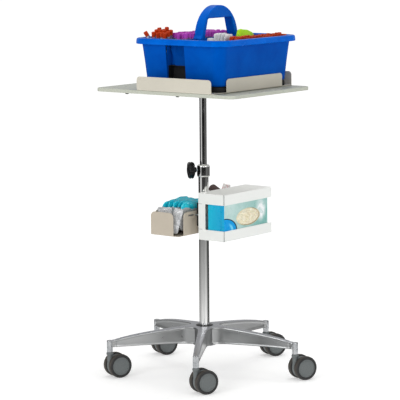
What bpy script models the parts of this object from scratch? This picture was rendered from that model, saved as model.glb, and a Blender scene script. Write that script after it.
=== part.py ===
"""Instrument cart for a veterinary clinic: a five-arm die-cast base on twin-wheel
casters, a telescoping chrome mast with a clamp collar and knob, a moulded top with a
sheet-metal tray, a carry tote, and a glove-box holder and an accessory bin that are
bolted together around the mast.

The mast stands at (MAST_X, MAST_Y). +X runs along the long side of the top, +Y along
its short side, and +Z is up. Lengths below are in millimetres.
"""

import math

import bmesh
import bpy
from mathutils import Matrix, Vector

MM = 0.001
GAP = 0.3  # clearance between touching pieces

# Mast position: it puts the middle of the whole cart's footprint on the origin
MAST_X, MAST_Y = -16.5, -47.9

# Base
ARM_ANGLES = (14.6, 86.6, 158.6, 230.6, 302.6)
STEM_RADIUS_POS = 305.0  # caster stems from the mast axis
ARM_TOP = ((28.0, 151.5), (60.0, 151.0), (100.0, 147.5), (150.0, 142.5), (200.0, 136.5), (250.0, 128.5), (296.0, 118.3))
ARM_BOTTOM = ((28.0, 97.0), (100.0, 98.5), (200.0, 99.0), (296.0, 97.5))
ARM_HALF_WIDTH = ((28.0, 16.5), (60.0, 14.5), (150.0, 12.5), (296.0, 9.6))
ARM_WALL = 4.0
BOSS_R, BOSS_BOTTOM, BOSS_TOP = 9.5, 81.0, 118.3
HUB_R, HUB_BOTTOM, HUB_TOP = 38.0, 90.5, 151.5
INSERT_R = 27.5

# Casters
WHEEL_R, WHEEL_IN, WHEEL_OUT = 37.5, 8.6, 28.2
RIM_R = 28.4
AXLE_R, AXLE_HALF = 4.0, 24.0
TRAIL = 26.5
TRAIL_ANGLE = 65.7
HOUSING_R, HOUSING_HALF, HOUSING_TOP = 34.0, 7.8, 80.6
STEM_R = 5.5

# Mast
LOWER_R, LOWER_WALL, LOWER_Z = 15.875, 1.6, (93.0, 655.0)
UPPER_R, UPPER_WALL, UPPER_Z = 11.1, 1.5, (300.0, 887.0)
COLLAR_R, COLLAR_Z = 20.0, (624.5, 662.5)
KNOB_Z, KNOB_ANGLE, KNOB_R = 646.5, 230.0, 27.5

# Top
TOP_X, TOP_Y, TOP_THICK, TOP_Z, TOP_CORNER = 535.0, 406.0, 11.5, 905.5, 20.0
WORK_X, WORK_Y, WORK_DEPTH = (-258.0, -111.0), (-193.5, 193.5), 0.6
TRAY_X, TRAY_Y = (-105.0, 201.5), (-208.0, 208.0)
TRAY_SHEET, TRAY_FLANGE_TOP = 2.0, 948.5
TRAY_FRONT_X, TRAY_SIDE_Y = (-95.0, 191.0), (-143.0, 142.0)

# Tote
TOTE_CX, TOTE_CY, TOTE_BOTTOM, TOTE_TOP = 48.0, 8.0, 924.6, 1064.5
TOTE_BASE, TOTE_MOUTH, TOTE_RIM = (296.0, 354.0), (320.0, 375.0), (357.0, 410.0)
TOTE_WALL, TOTE_FLOOR, RIM_DEPTH = 3.6, 4.0, 18.5
SLOT_X, SLOT_DEPTH = (-5.0, 67.0), 30.0
HANDLE_HALF_Y, HANDLE_HEIGHT, HANDLE_THICK = 92.0, 105.0, 32.0
HANDLE_BASE_Z = 1055.5

# Glove-box holder and accessory bin
HOLDER_X, HOLDER_Y, HOLDER_Z = (17.0, 118.5), (-49.3, 199.7), (433.0, 579.5)
HOLDER_SHEET, HOLDER_FLANGE = 2.0, 33.0
BOX_X, BOX_Y, BOX_Z = (53.0, 116.0), (-46.6, 181.0), (435.4, 560.0)
BIN_X, BIN_Y, BIN_Z = (-132.0, -17.0), (-107.0, 193.0), (443.5, 517.5)
BIN_SHEET = 2.0
CLAMP_Z = (468.0, 542.0)
BOLT_Z, BOLT_Y = 505.0, 20.0


def interpolate(table, x):
    """A smooth-enough value read from a short table of (position, value) pairs."""
    if x <= table[0][0]:
        return table[0][1]
    for (x0, v0), (x1, v1) in zip(table, table[1:]):
        if x <= x1:
            return v0 + (v1 - v0) * (x - x0) / (x1 - x0)
    return table[-1][1]


# ---------------------------------------------------------------- scene set-up
for old in list(bpy.data.objects):
    bpy.data.objects.remove(old, do_unlink=True)

parts = bpy.data.collections.new("instrument_cart")
cutters = bpy.data.collections.new("cutters")
for made in (parts, cutters):
    bpy.context.scene.collection.children.link(made)


def material(name, colour, roughness, metallic=0.0):
    made = bpy.data.materials.new(name)
    made.use_nodes = True
    shader = made.node_tree.nodes["Principled BSDF"]
    shader.inputs["Base Color"].default_value = (*colour, 1.0)
    shader.inputs["Roughness"].default_value = roughness
    shader.inputs["Metallic"].default_value = metallic
    made.diffuse_color = (*colour, 1.0)
    return made


CHROME = material("chrome", (0.78, 0.78, 0.80), 0.08, 1.0)
CAST = material("polished_aluminium", (0.66, 0.67, 0.69), 0.22, 1.0)
ZINC = material("zinc", (0.55, 0.60, 0.66), 0.35, 1.0)
BLACK = material("black_plastic", (0.02, 0.02, 0.02), 0.45)
RUBBER = material("black_rubber", (0.03, 0.028, 0.026), 0.7)
GREY = material("caster_grey", (0.14, 0.16, 0.16), 0.5)
TOP_GREY = material("top_laminate", (0.58, 0.60, 0.55), 0.4)
TRAY_BEIGE = material("tray_powder_coat", (0.62, 0.58, 0.50), 0.45)
BIN_BEIGE = material("bin_powder_coat", (0.52, 0.46, 0.38), 0.45)
WHITE = material("white_powder_coat", (0.85, 0.85, 0.83), 0.4)
BLUE = material("tote_blue", (0.0, 0.07, 0.42), 0.35)
CYAN = material("carton_cyan", (0.0, 0.38, 0.68), 0.5)
RED = material("cap_orange", (0.55, 0.07, 0.02), 0.5)
PURPLE = material("cap_purple", (0.38, 0.10, 0.34), 0.5)
CLEAR = material("bag_film", (0.62, 0.68, 0.72), 0.3)


# ---------------------------------------------------------------- mesh helpers
def finish_mesh(name, bm):
    for vert in bm.verts:
        vert.co *= MM
    bmesh.ops.recalc_face_normals(bm, faces=bm.faces)
    mesh = bpy.data.meshes.new(name)
    bm.to_mesh(mesh)
    bm.free()
    return mesh


def add(name, mesh, finish, location=(0.0, 0.0, 0.0), rotation=(0.0, 0.0, 0.0), parent=None, cutter=False):
    obj = bpy.data.objects.new(name, mesh)
    obj.location = Vector(location) * MM
    obj.rotation_euler = rotation
    obj.parent = parent
    if finish is not None:
        if not mesh.materials:
            mesh.materials.append(finish)
    if cutter:
        obj.hide_render = True
        obj.display_type = "WIRE"
        cutters.objects.link(obj)
    else:
        parts.objects.link(obj)
    return obj


def bevel_edges(bm, chosen, radius, segments):
    if chosen and radius > 0:
        bmesh.ops.bevel(bm, geom=chosen, offset=radius, segments=segments, profile=0.5, affect="EDGES", clamp_overlap=True)


def along(edge, axis):
    run = edge.verts[1].co - edge.verts[0].co
    return abs(run[axis]) > 0.9 * run.length


def box_bm(x, y, z, radius=0.0, segments=5, axis=2, top=None, rule=None):
    """A box between the given limits. Edges along axis are rounded; top gives the
    (x, y) growth of the upper face on each side; rule picks which edges are rounded."""
    bm = bmesh.new()
    bmesh.ops.create_cube(bm, size=1.0)
    for vert in bm.verts:
        grow = (0.0, 0.0) if top is None or vert.co.z < 0 else top
        vert.co = Vector((
            (x[0] - grow[0]) if vert.co.x < 0 else (x[1] + grow[0]),
            (y[0] - grow[1]) if vert.co.y < 0 else (y[1] + grow[1]),
            z[0] if vert.co.z < 0 else z[1],
        ))
    chosen = [e for e in bm.edges if along(e, axis)]
    if rule is not None:
        chosen = [e for e in chosen if rule((e.verts[0].co + e.verts[1].co) / 2)]
    bevel_edges(bm, chosen, radius, segments)
    return bm


def cylinder_bm(radius, z0, z1, segments=24):
    bm = bmesh.new()
    bmesh.ops.create_cone(bm, cap_ends=True, cap_tris=False, segments=segments, radius1=radius, radius2=radius, depth=z1 - z0)
    bmesh.ops.translate(bm, verts=bm.verts, vec=(0.0, 0.0, (z0 + z1) / 2))
    return bm


def turned(name, profile, steps, finish, closed=False, **place):
    """A profile of (radius, height) points turned about Z with a Screw modifier."""
    mesh = bpy.data.meshes.new(name)
    points = [(r * MM, 0.0, z * MM) for r, z in profile]
    edges = [(i, i + 1) for i in range(len(points) - 1)]
    if closed:
        edges.append((len(points) - 1, 0))
    mesh.from_pydata(points, edges, [])
    obj = add(name, mesh, finish, **place)
    screw = obj.modifiers.new("turn", "SCREW")
    screw.axis = "Z"
    screw.angle = 2 * math.pi
    screw.steps = screw.render_steps = steps
    screw.use_merge_vertices = True
    screw.merge_threshold = 0.00001
    screw.use_smooth_shade = True
    return obj


def boolean(obj, other, operation):
    step = obj.modifiers.new(operation.lower(), "BOOLEAN")
    step.operation = operation
    step.solver = "EXACT"
    step.object = other
    return step


def cut(obj, name, bm, **place):
    return boolean(obj, add(name, finish_mesh(name, bm), None, cutter=True, **place), "DIFFERENCE")


def join(obj, name, bm, **place):
    return boolean(obj, add(name, finish_mesh(name, bm), None, cutter=True, **place), "UNION")


def empty(name, location, rotation=(0.0, 0.0, 0.0), parent=None):
    obj = bpy.data.objects.new(name, None)
    obj.location = Vector(location) * MM
    obj.rotation_euler = rotation
    obj.parent = parent
    obj.empty_display_size = 0.03
    parts.objects.link(obj)
    return obj


mast = empty("mast_axis", (MAST_X, MAST_Y, 0.0))


# ---------------------------------------------------------------- base
def arm_bm(r0, r1, lower_top, side, lower_bottom, stations, half_width=None):
    """One arm along +X: the section follows the top, bottom and width tables."""
    bm = bmesh.new()
    bmesh.ops.create_cube(bm, size=2.0)
    run = [e for e in bm.edges if along(e, 0)]
    bmesh.ops.subdivide_edges(bm, edges=run, cuts=stations, use_grid_fill=True)
    for vert in bm.verts:
        r = r0 + (r1 - r0) * (vert.co.x + 1) / 2
        wide = half_width or interpolate(ARM_HALF_WIDTH, r) - side
        vert.co = Vector((
            r,
            math.copysign(wide, vert.co.y),
            interpolate(ARM_TOP, r) - lower_top if vert.co.z > 0 else interpolate(ARM_BOTTOM, r) - lower_bottom,
        ))
    return bm


hub_profile = [
    (0.0, HUB_TOP), (HUB_R - 3, HUB_TOP), (HUB_R, HUB_TOP - 3),
    (HUB_R, HUB_BOTTOM + 2), (HUB_R - 2, HUB_BOTTOM), (0.0, HUB_BOTTOM),
]
star = turned("star_base", hub_profile, 24, CAST, parent=mast)
for i, angle in enumerate(ARM_ANGLES):
    turn = math.radians(angle)
    arm = arm_bm(20.0, 299.0, 0.0, 0.0, 0.0, 5)
    upper = [
        e for e in arm.edges
        if all(v.co.z > 110 for v in e.verts) and abs(e.verts[0].co.x - e.verts[1].co.x) > 1
        and e.verts[0].co.y * e.verts[1].co.y > 0
    ]
    bevel_edges(arm, upper, 3.0, 1)
    join(star, f"arm_{i + 1}", arm, rotation=(0, 0, turn), parent=mast)
    spot = (STEM_RADIUS_POS * math.cos(turn), STEM_RADIUS_POS * math.sin(turn), 0.0)
    join(star, f"boss_{i + 1}", cylinder_bm(BOSS_R, BOSS_BOTTOM, BOSS_TOP, 18), location=spot, parent=mast)
for i, angle in enumerate(ARM_ANGLES):
    turn = math.radians(angle)
    spot = (STEM_RADIUS_POS * math.cos(turn), STEM_RADIUS_POS * math.sin(turn), 0.0)
    cut(star, f"arm_hollow_{i + 1}", arm_bm(46.0, 288.0, ARM_WALL + 1.0, ARM_WALL, 12.0, 3), rotation=(0, 0, turn), parent=mast)
    join(star, f"arm_rib_{i + 1}", arm_bm(42.0, 292.0, 2.0, 0.0, -3.0, 2, half_width=1.4), rotation=(0, 0, turn), parent=mast)
    cut(star, f"stem_bore_{i + 1}", cylinder_bm(STEM_R + GAP, BOSS_BOTTOM - 5, 112.6, 14), location=spot, parent=mast)
cut(star, "hub_bore", cylinder_bm(19.0, HUB_BOTTOM - 5, HUB_TOP + 5, 24), parent=mast)
cut(star, "hub_recess", cylinder_bm(INSERT_R + GAP, HUB_TOP - 4.0, HUB_TOP + 5, 30), parent=mast)

turned(
    "hub_insert",
    [(INSERT_R, 152.6), (INSERT_R, 147.8), (18.7, 147.8), (18.7, 93.0), (LOWER_R + GAP, 93.0), (LOWER_R + GAP, 154.0), (INSERT_R - 4, 154.0)],
    24, BLACK, closed=True, parent=mast,
)
turned(
    "base_nut",
    [(0.0, 92.7), (14.8, 92.7), (14.8, 90.2), (22.0, 90.2), (22.0, 87.2), (9.0, 87.2), (9.0, 79.5), (7.5, 78.5), (0.0, 78.5)],
    18, ZINC, parent=mast,
)

# ---------------------------------------------------------------- mast
lower = turned(
    "lower_tube",
    [(LOWER_R, LOWER_Z[1]), (LOWER_R, LOWER_Z[0]), (LOWER_R - LOWER_WALL, LOWER_Z[0]), (LOWER_R - LOWER_WALL, LOWER_Z[1])],
    24, CHROME, closed=True, parent=mast,
)
turned(
    "glide_bush",
    [(LOWER_R - 0.6, 658.0), (LOWER_R - 0.6, 655.3), (LOWER_R - LOWER_WALL - GAP, 655.3), (LOWER_R - LOWER_WALL - GAP, 575.0),
     (UPPER_R + GAP, 575.0), (UPPER_R + GAP, 658.0)],
    24, BLACK, closed=True, parent=mast,
)
collar = turned(
    "clamp_collar",
    [(COLLAR_R - 3.5, COLLAR_Z[1]), (COLLAR_R, COLLAR_Z[1] - 3.5), (COLLAR_R, COLLAR_Z[0] + 1.5), (COLLAR_R - 1.5, COLLAR_Z[0]),
     (LOWER_R + GAP, COLLAR_Z[0]), (LOWER_R + GAP, 658.4), (UPPER_R + GAP, 658.4), (UPPER_R + GAP, COLLAR_Z[1])],
    28, CHROME, closed=True, parent=mast,
)
upper_tube = turned(
    "upper_tube",
    [(UPPER_R, UPPER_Z[1]), (UPPER_R, UPPER_Z[0]), (UPPER_R - UPPER_WALL, UPPER_Z[0]), (UPPER_R - UPPER_WALL, UPPER_Z[1])],
    24, CHROME, closed=True, parent=mast,
)

knob_axis = empty("knob_axis", (0.0, 0.0, KNOB_Z), (0.0, math.pi / 2, math.radians(KNOB_ANGLE)), parent=mast)
cut(collar, "collar_thread", cylinder_bm(4.3, 10.0, 30.0, 14), rotation=(0.0, math.pi / 2, math.radians(KNOB_ANGLE)), location=(0.0, 0.0, KNOB_Z), parent=mast)
cut(lower, "tube_stud_hole", cylinder_bm(4.6, 13.5, 30.0, 14), rotation=(0.0, math.pi / 2, math.radians(KNOB_ANGLE)), location=(0.0, 0.0, KNOB_Z), parent=mast)
head = bmesh.new()
LOBES, LOBE_POINTS = 6, 36
bmesh.ops.create_circle(head, cap_ends=True, radius=KNOB_R, segments=LOBE_POINTS)
for vert in head.verts:
    bearing = math.atan2(vert.co.y, vert.co.x)
    reach = KNOB_R - 2.2 + 2.2 * math.cos(LOBES * bearing)
    vert.co = Vector((reach * math.cos(bearing), reach * math.sin(bearing), 28.5))
grown = bmesh.ops.extrude_face_region(head, geom=list(head.faces))
bmesh.ops.translate(head, verts=[g for g in grown["geom"] if isinstance(g, bmesh.types.BMVert)], vec=(0.0, 0.0, 21.0))
knob = add("clamp_knob", finish_mesh("clamp_knob", head), BLACK, parent=knob_axis)
join(knob, "knob_neck", cylinder_bm(8.5, 21.0, 30.0, 16), parent=knob_axis)
join(knob, "knob_stud", cylinder_bm(4.0, 14.6, 30.0, 14), parent=knob_axis)

# ---------------------------------------------------------------- top
under = TOP_Z - TOP_THICK
bracket = add("top_bracket", finish_mesh("top_bracket", box_bm((-80, 80), (-55, 55), (under - 4.3, under - GAP), 10, 3)), CAST, parent=mast)
join(bracket, "bracket_socket", cylinder_bm(16.0, 872.0, under - 2.0, 24), parent=mast)
cut(bracket, "bracket_bore", cylinder_bm(UPPER_R + GAP, 860.0, UPPER_Z[1] + GAP, 24), parent=mast)

edge = box_bm((-TOP_X / 2, TOP_X / 2), (-TOP_Y / 2, TOP_Y / 2), (under, TOP_Z), TOP_CORNER, 6)
bevel_edges(edge, [e for e in edge.edges if all(abs(v.co.z - TOP_Z) < 0.01 for v in e.verts)], 1.6, 1)
bevel_edges(edge, [e for e in edge.edges if all(abs(v.co.z - under) < 0.01 for v in e.verts)], 1.6, 1)
tabletop = add("tabletop", finish_mesh("tabletop", edge), TOP_GREY, parent=mast)
# the open work surface left of the tray lies a little below the moulded lip
cut(tabletop, "work_surface_recess", box_bm(WORK_X, WORK_Y, (TOP_Z - WORK_DEPTH, TOP_Z + 5.0)), parent=mast)


def flange(x, y, z, thin_axis, radius, segments=3):
    """An upright sheet with its two upper corners rounded."""
    top_z = z[1]
    return box_bm(x, y, z, radius, segments, axis=thin_axis, rule=lambda mid: abs(mid.z - top_z) < 0.01)


floor_z = TOP_Z + GAP
t = TRAY_SHEET
tray = add(
    "tray",
    finish_mesh("tray", box_bm((TRAY_X[0] + 0.4, TRAY_X[1] - 0.4), (TRAY_Y[0] + 0.4, TRAY_Y[1] - 0.4), (floor_z, floor_z + t), 8.0, 2)),
    TRAY_BEIGE, parent=mast,
)
tray_top = (floor_z, TRAY_FLANGE_TOP)
join(tray, "tray_flange_front", flange(TRAY_FRONT_X, (TRAY_Y[0], TRAY_Y[0] + t), tray_top, 1, 11.0), parent=mast)
join(tray, "tray_flange_back", flange(TRAY_FRONT_X, (TRAY_Y[1] - t, TRAY_Y[1]), tray_top, 1, 11.0), parent=mast)
join(tray, "tray_flange_left", flange((TRAY_X[0], TRAY_X[0] + t), TRAY_SIDE_Y, tray_top, 0, 11.0), parent=mast)
join(tray, "tray_flange_right", flange((TRAY_X[1] - t, TRAY_X[1]), TRAY_SIDE_Y, tray_top, 0, 11.0), parent=mast)

half_x, half_y = TOTE_BASE[0] / 2, TOTE_BASE[1] / 2
add(
    "tray_pad",
    finish_mesh("tray_pad", box_bm((TOTE_CX - half_x + 1, TOTE_CX + half_x - 1), (TOTE_CY - half_y + 1, TOTE_CY + half_y - 1), (floor_z + t + GAP, TOTE_BOTTOM - GAP), 28, 4)),
    RUBBER, parent=mast,
)

# ---------------------------------------------------------------- tote
tote_axis = empty("tote_lift", (TOTE_CX, TOTE_CY, TOTE_BOTTOM), parent=mast)


def tote_place(bm):
    bmesh.ops.translate(bm, verts=bm.verts, vec=(0.0, 0.0, -TOTE_BOTTOM))
    return bm


grow = ((TOTE_MOUTH[0] - TOTE_BASE[0]) / 2, (TOTE_MOUTH[1] - TOTE_BASE[1]) / 2)
shell = box_bm((-half_x, half_x), (-half_y, half_y), (TOTE_BOTTOM, TOTE_TOP), 31, 6, top=grow)
tote = add("tote", finish_mesh("tote", tote_place(shell)), BLUE, parent=tote_axis)
rim = box_bm((-TOTE_RIM[0] / 2, TOTE_RIM[0] / 2), (-TOTE_RIM[1] / 2, TOTE_RIM[1] / 2), (TOTE_TOP - RIM_DEPTH, TOTE_TOP), 50, 7)
bevel_edges(rim, [e for e in rim.edges if all(abs(v.co.z - TOTE_TOP) < 0.01 for v in e.verts)], 4.0, 2)
join(tote, "tote_rim", tote_place(rim), parent=tote_axis)
w, divider = TOTE_WALL, 2.5
for side, (x0, x1) in (("left", (-half_x + w, -divider)), ("right", (divider, half_x - w))):
    bm = box_bm((x0, x1), (-half_y + w, half_y - w), (TOTE_BOTTOM + TOTE_FLOOR, TOTE_TOP + 20), 24, 4)
    for vert in bm.verts:
        if vert.co.z > TOTE_TOP:
            lean = 1 + 20.0 / (TOTE_TOP - TOTE_BOTTOM)
            outward = (vert.co.x < -10) if side == "left" else (vert.co.x > 10)
            vert.co.x += math.copysign(grow[0] * lean, vert.co.x) if outward and abs(vert.co.x) > 60 else 0.0
            vert.co.y += math.copysign(grow[1] * lean, vert.co.y)
    cut(tote, f"tote_cavity_{side}", tote_place(bm), parent=tote_axis)
slot = (SLOT_X[0] - TOTE_CX, SLOT_X[1] - TOTE_CX)
join(tote, "slot_wall", tote_place(box_bm((slot[0] - 3, slot[1] + 3), (-half_y + 1.2, -half_y + SLOT_DEPTH + 3), (TOTE_BOTTOM + 1, TOTE_TOP - RIM_DEPTH + 3.5), 0)), parent=tote_axis)
cut(tote, "slot_low", tote_place(box_bm(slot, (-half_y - 20, -half_y + SLOT_DEPTH), (TOTE_BOTTOM - 5, 983.0), 0)), parent=tote_axis)
cut(tote, "slot_high", tote_place(box_bm(slot, (-half_y - 12, -half_y + 16), (970.0, TOTE_TOP - RIM_DEPTH), 0)), parent=tote_axis)

arch = bmesh.new()
bmesh.ops.create_circle(arch, cap_ends=True, radius=1.0, segments=36)
for vert in arch.verts:
    y, z = vert.co.x, vert.co.y
    if z >= -1e-6:
        place = (HANDLE_HALF_Y * y, HANDLE_BASE_Z + HANDLE_HEIGHT * z)
    else:
        place = (math.copysign(HANDLE_HALF_Y, y) if abs(y) > 1e-6 else 0.0, HANDLE_BASE_Z - 25.0 * min(1.0, -2.2 * z))
        if -z > 0.46:
            place = (HANDLE_HALF_Y * y / math.sqrt(1 - 0.46 ** 2), HANDLE_BASE_Z - 25.0)
    vert.co = Vector((-HANDLE_THICK / 2, place[0], place[1] - TOTE_BOTTOM))
grown = bmesh.ops.extrude_face_region(arch, geom=list(arch.faces))
bmesh.ops.translate(arch, verts=[g for g in grown["geom"] if isinstance(g, bmesh.types.BMVert)], vec=(HANDLE_THICK, 0.0, 0.0))
bmesh.ops.remove_doubles(arch, verts=arch.verts, dist=0.05)
join(tote, "handle_arch", arch, parent=tote_axis)
grip = box_bm((-30, 30), (-74.5, 74.5), (1056.0, 1121.5), 7, 3, axis=0)
for vert in grip.verts:
    share = (vert.co.z - 1056.0) / 65.5
    vert.co.y *= 1 - share * (1 - 61.0 / 74.5)
cut(tote, "handle_hole", tote_place(grip), parent=tote_axis)

# Bundles of capped tubes standing in the tote
for name, finish, x, y, z in (
    ("tubes_red_front", RED, (-82.0, -12.0), (-160.0, -126.0), (929.0, 1094.0)),
    ("tubes_purple", PURPLE, (-38.0, 30.0), (-122.0, 92.0), (929.0, 1080.0)),
    ("tubes_red_side", RED, (161.0, 189.0), (-95.0, 168.0), (929.0, 1071.0)),
):
    bm = box_bm((x[0] - TOTE_CX, x[1] - TOTE_CX), (y[0] - TOTE_CY, y[1] - TOTE_CY), z, 5, 2)
    add(name, finish_mesh(name, tote_place(bm)), finish, parent=tote_axis)

# ---------------------------------------------------------------- glove-box holder
hx, hy, hz, s, f = HOLDER_X, HOLDER_Y, HOLDER_Z, HOLDER_SHEET, HOLDER_FLANGE
holder = add("glove_holder", finish_mesh("glove_holder", box_bm((hx[0], hx[0] + s), hy, hz)), WHITE, parent=mast)
for label, x, y, z in (
    ("top", hx, hy, (hz[1] - s, hz[1])),
    ("bottom", hx, hy, (hz[0], hz[0] + s)),
    ("front_upper", (hx[1] - s, hx[1]), hy, (hz[1] - f, hz[1])),
    ("front_lower", (hx[1] - s, hx[1]), hy, (hz[0], hz[0] + f)),
    ("end_upper", (hx[0], hx[1] - s - 1.2), (hy[0], hy[0] + s), (hz[1] - f, hz[1])),
    ("end_lower", (hx[0], hx[1] - s - 1.2), (hy[0], hy[0] + s), (hz[0], hz[0] + f)),
    ("return", (hx[0], hx[0] + 26.5), (hy[0], hy[0] + s), hz),
):
    join(holder, f"holder_{label}", box_bm(x, y, z), parent=mast)

box_axis = empty("box_slide", (BOX_X[0], BOX_Y[0], BOX_Z[0]), parent=mast)
carton = box_bm((0, BOX_X[1] - BOX_X[0]), (0, BOX_Y[1] - BOX_Y[0]), (0, BOX_Z[1] - BOX_Z[0]))
add("glove_box", finish_mesh("glove_box", carton), CYAN, parent=box_axis)

# ---------------------------------------------------------------- accessory bin
bx, by, bz, s = BIN_X, BIN_Y, BIN_Z, BIN_SHEET
bin_tray = add("accessory_bin", finish_mesh("accessory_bin", box_bm((bx[0] + 0.4, bx[1] - 0.4), (by[0] + 0.4, by[1] - 0.4), (bz[0], bz[0] + s), 8, 2)), BIN_BEIGE, parent=mast)
join(bin_tray, "bin_end_near", flange((bx[0] + 5, bx[1] - 21), (by[0], by[0] + s), bz, 1, 15), parent=mast)
join(bin_tray, "bin_end_far", flange((bx[0] + 5, bx[1] - 21), (by[1] - s, by[1]), bz, 1, 15), parent=mast)
join(bin_tray, "bin_side_mast", flange((bx[1] - s, bx[1]), (by[0] + 27, by[1] - 27), bz, 0, 13), parent=mast)
join(bin_tray, "bin_side_outer", flange((bx[0], bx[0] + s), (by[0] + 27, by[1] - 27), bz, 0, 13), parent=mast)
for i, y0 in enumerate((-56.0, 28.0, 66.0, 104.0)):
    cut(bin_tray, f"bin_slot_{i + 1}", box_bm((bx[1] - 6, bx[1] + 4), (y0, y0 + 28), (503.2, 507.8)), parent=mast)

for name, x, y, z in (
    ("bin_bags", (-126.0, -24.0), (-98.0, 62.0), (446.2, 552.0)),
    ("bin_roll", (-120.0, -30.0), (118.0, 186.0), (446.2, 575.0)),
):
    bm = box_bm(x, y, z, 12, 3)
    add(name, finish_mesh(name, bm), CLEAR, parent=mast)

# ---------------------------------------------------------------- clamp round the mast
for name, side in (("saddle_front", 1), ("saddle_rear", -1)):
    reach = sorted((side * 7.0, side * (hx[0] - GAP)))
    saddle = add(name, finish_mesh(name, box_bm(reach, (-13.5, 13.5), CLAMP_Z)), BLACK, parent=mast)
    cut(saddle, f"{name}_bore", cylinder_bm(LOWER_R + GAP, CLAMP_Z[0] - 5, CLAMP_Z[1] + 5, 24), parent=mast)
for name, y in (("clamp_bolt_near", -BOLT_Y), ("clamp_bolt_far", BOLT_Y)):
    turn = (0.0, math.pi / 2, 0.0)
    for piece in (holder, bin_tray):
        cut(piece, f"{name}_hole_{piece.name}", cylinder_bm(2.5 + GAP, -30.0, 30.0, 14), rotation=turn, location=(0.0, y, BOLT_Z), parent=mast)
    turned(
        name,
        [(0.0, 23.4), (4.6, 23.4), (4.6, 19.3), (2.5, 19.3), (2.5, -19.3), (4.6, -19.3), (4.6, -23.4), (0.0, -23.4)],
        12, ZINC, rotation=turn, location=(0.0, y, BOLT_Z), parent=mast,
    )

# ---------------------------------------------------------------- casters
wheel_meshes = {}
for i, angle in enumerate(ARM_ANGLES):
    k = i + 1
    turn = math.radians(angle)
    spot = (STEM_RADIUS_POS * math.cos(turn), STEM_RADIUS_POS * math.sin(turn), 0.0)
    swivel = empty(f"swivel_axis_{k}", spot, (0.0, 0.0, math.radians(TRAIL_ANGLE)), parent=mast)
    turned(
        f"caster{k}_stem",
        [(0.0, 112.3), (STEM_R - 0.8, 112.3), (STEM_R, 111.5), (STEM_R, 63.4), (0.0, 63.4)],
        14, ZINC, parent=swivel,
    )
    axle = empty(f"axle_axis_{k}", (TRAIL, 0.0, WHEEL_R), (math.pi / 2, 0.0, 0.0), parent=swivel)
    body = cylinder_bm(HOUSING_R, -HOUSING_HALF, HOUSING_HALF, 20)
    housing = add(f"caster{k}_housing", finish_mesh(f"caster{k}_housing", body), GREY, parent=axle)
    join(housing, f"caster{k}_neck", cylinder_bm(7.9, 42.0, 76.0, 16), parent=swivel)
    join(housing, f"caster{k}_hood", cylinder_bm(11.0, 73.0, HOUSING_TOP, 16), parent=swivel)
    cut(housing, f"caster{k}_stem_bore", cylinder_bm(STEM_R + GAP, 63.1, HOUSING_TOP + 5, 14), parent=swivel)
    cut(housing, f"caster{k}_axle_bore", cylinder_bm(AXLE_R + GAP, -20.0, 20.0, 14), parent=axle)
    turned(f"caster{k}_axle", [(0.0, AXLE_HALF), (AXLE_R, AXLE_HALF), (AXLE_R, -AXLE_HALF), (0.0, -AXLE_HALF)], 14, ZINC, parent=axle)
    for side, flip in (("a", 0.0), ("b", math.pi)):
        turned(
            f"caster{k}_wheel_{side}",
            [(0.0, WHEEL_OUT + 0.9), (25.5, WHEEL_OUT), (RIM_R, WHEEL_OUT - 1.6), (RIM_R, WHEEL_IN),
             (AXLE_R + GAP, WHEEL_IN), (AXLE_R + GAP, AXLE_HALF + GAP), (0.0, AXLE_HALF + GAP)],
            20, GREY, rotation=(flip, 0.0, 0.0), parent=axle,
        )
        turned(
            f"caster{k}_tyre_{side}",
            [(RIM_R + GAP, WHEEL_OUT - 0.6), (WHEEL_R - 2.6, WHEEL_OUT - 0.6), (WHEEL_R, WHEEL_OUT - 3.4),
             (WHEEL_R, WHEEL_IN + 2.4), (WHEEL_R - 2.0, WHEEL_IN), (RIM_R + GAP, WHEEL_IN)],
            20, RUBBER, closed=True, rotation=(flip, 0.0, 0.0), parent=axle,
        )
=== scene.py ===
"""Looks of the instrument cart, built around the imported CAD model.

Lengths are in millimetres in the mast's own frame (X along the long side of the top, Y
along its short side, Z up, mast axis at 0, 0) until a piece is placed.
"""

import math
import random

import bmesh
import bpy
from mathutils import Matrix, Vector, noise


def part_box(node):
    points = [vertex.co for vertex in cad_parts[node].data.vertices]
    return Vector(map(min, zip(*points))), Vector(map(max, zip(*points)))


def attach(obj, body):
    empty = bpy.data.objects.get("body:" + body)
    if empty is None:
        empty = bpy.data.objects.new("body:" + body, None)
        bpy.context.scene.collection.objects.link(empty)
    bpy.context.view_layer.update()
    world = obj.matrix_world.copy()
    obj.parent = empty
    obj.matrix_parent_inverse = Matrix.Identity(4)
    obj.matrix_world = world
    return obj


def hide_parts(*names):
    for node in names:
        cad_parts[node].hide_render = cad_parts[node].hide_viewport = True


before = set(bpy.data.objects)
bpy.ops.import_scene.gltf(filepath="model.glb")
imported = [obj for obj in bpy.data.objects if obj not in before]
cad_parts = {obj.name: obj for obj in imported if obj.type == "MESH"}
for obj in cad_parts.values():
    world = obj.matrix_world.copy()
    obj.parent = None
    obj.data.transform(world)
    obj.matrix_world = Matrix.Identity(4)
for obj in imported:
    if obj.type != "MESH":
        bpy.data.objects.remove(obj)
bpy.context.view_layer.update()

lo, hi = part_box("lower_tube")
MAST = Vector(((lo.x + hi.x) / 2, (lo.y + hi.y) / 2, 0.0))
TAU = 2 * math.pi


def node_mm(name):
    """A CAD node's box in the mast's frame, in millimetres."""
    low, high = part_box(name)
    return (low - MAST) * 1000.0, (high - MAST) * 1000.0


# ------------------------------------------------------------------ camera
TURN, DIST, HEIGHT = 0.657843, 6.390697, 1.4533
PITCH, YAW, ROLL = 0.140376, -0.0017705, -0.0076308


def to_frame(v):
    """A vector of the camera's ground frame, as the part's own axes see it."""
    c, s = math.cos(TURN), math.sin(TURN)
    return Vector((v.x * c - v.y * s, v.x * s + v.y * c, v.z))


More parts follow.
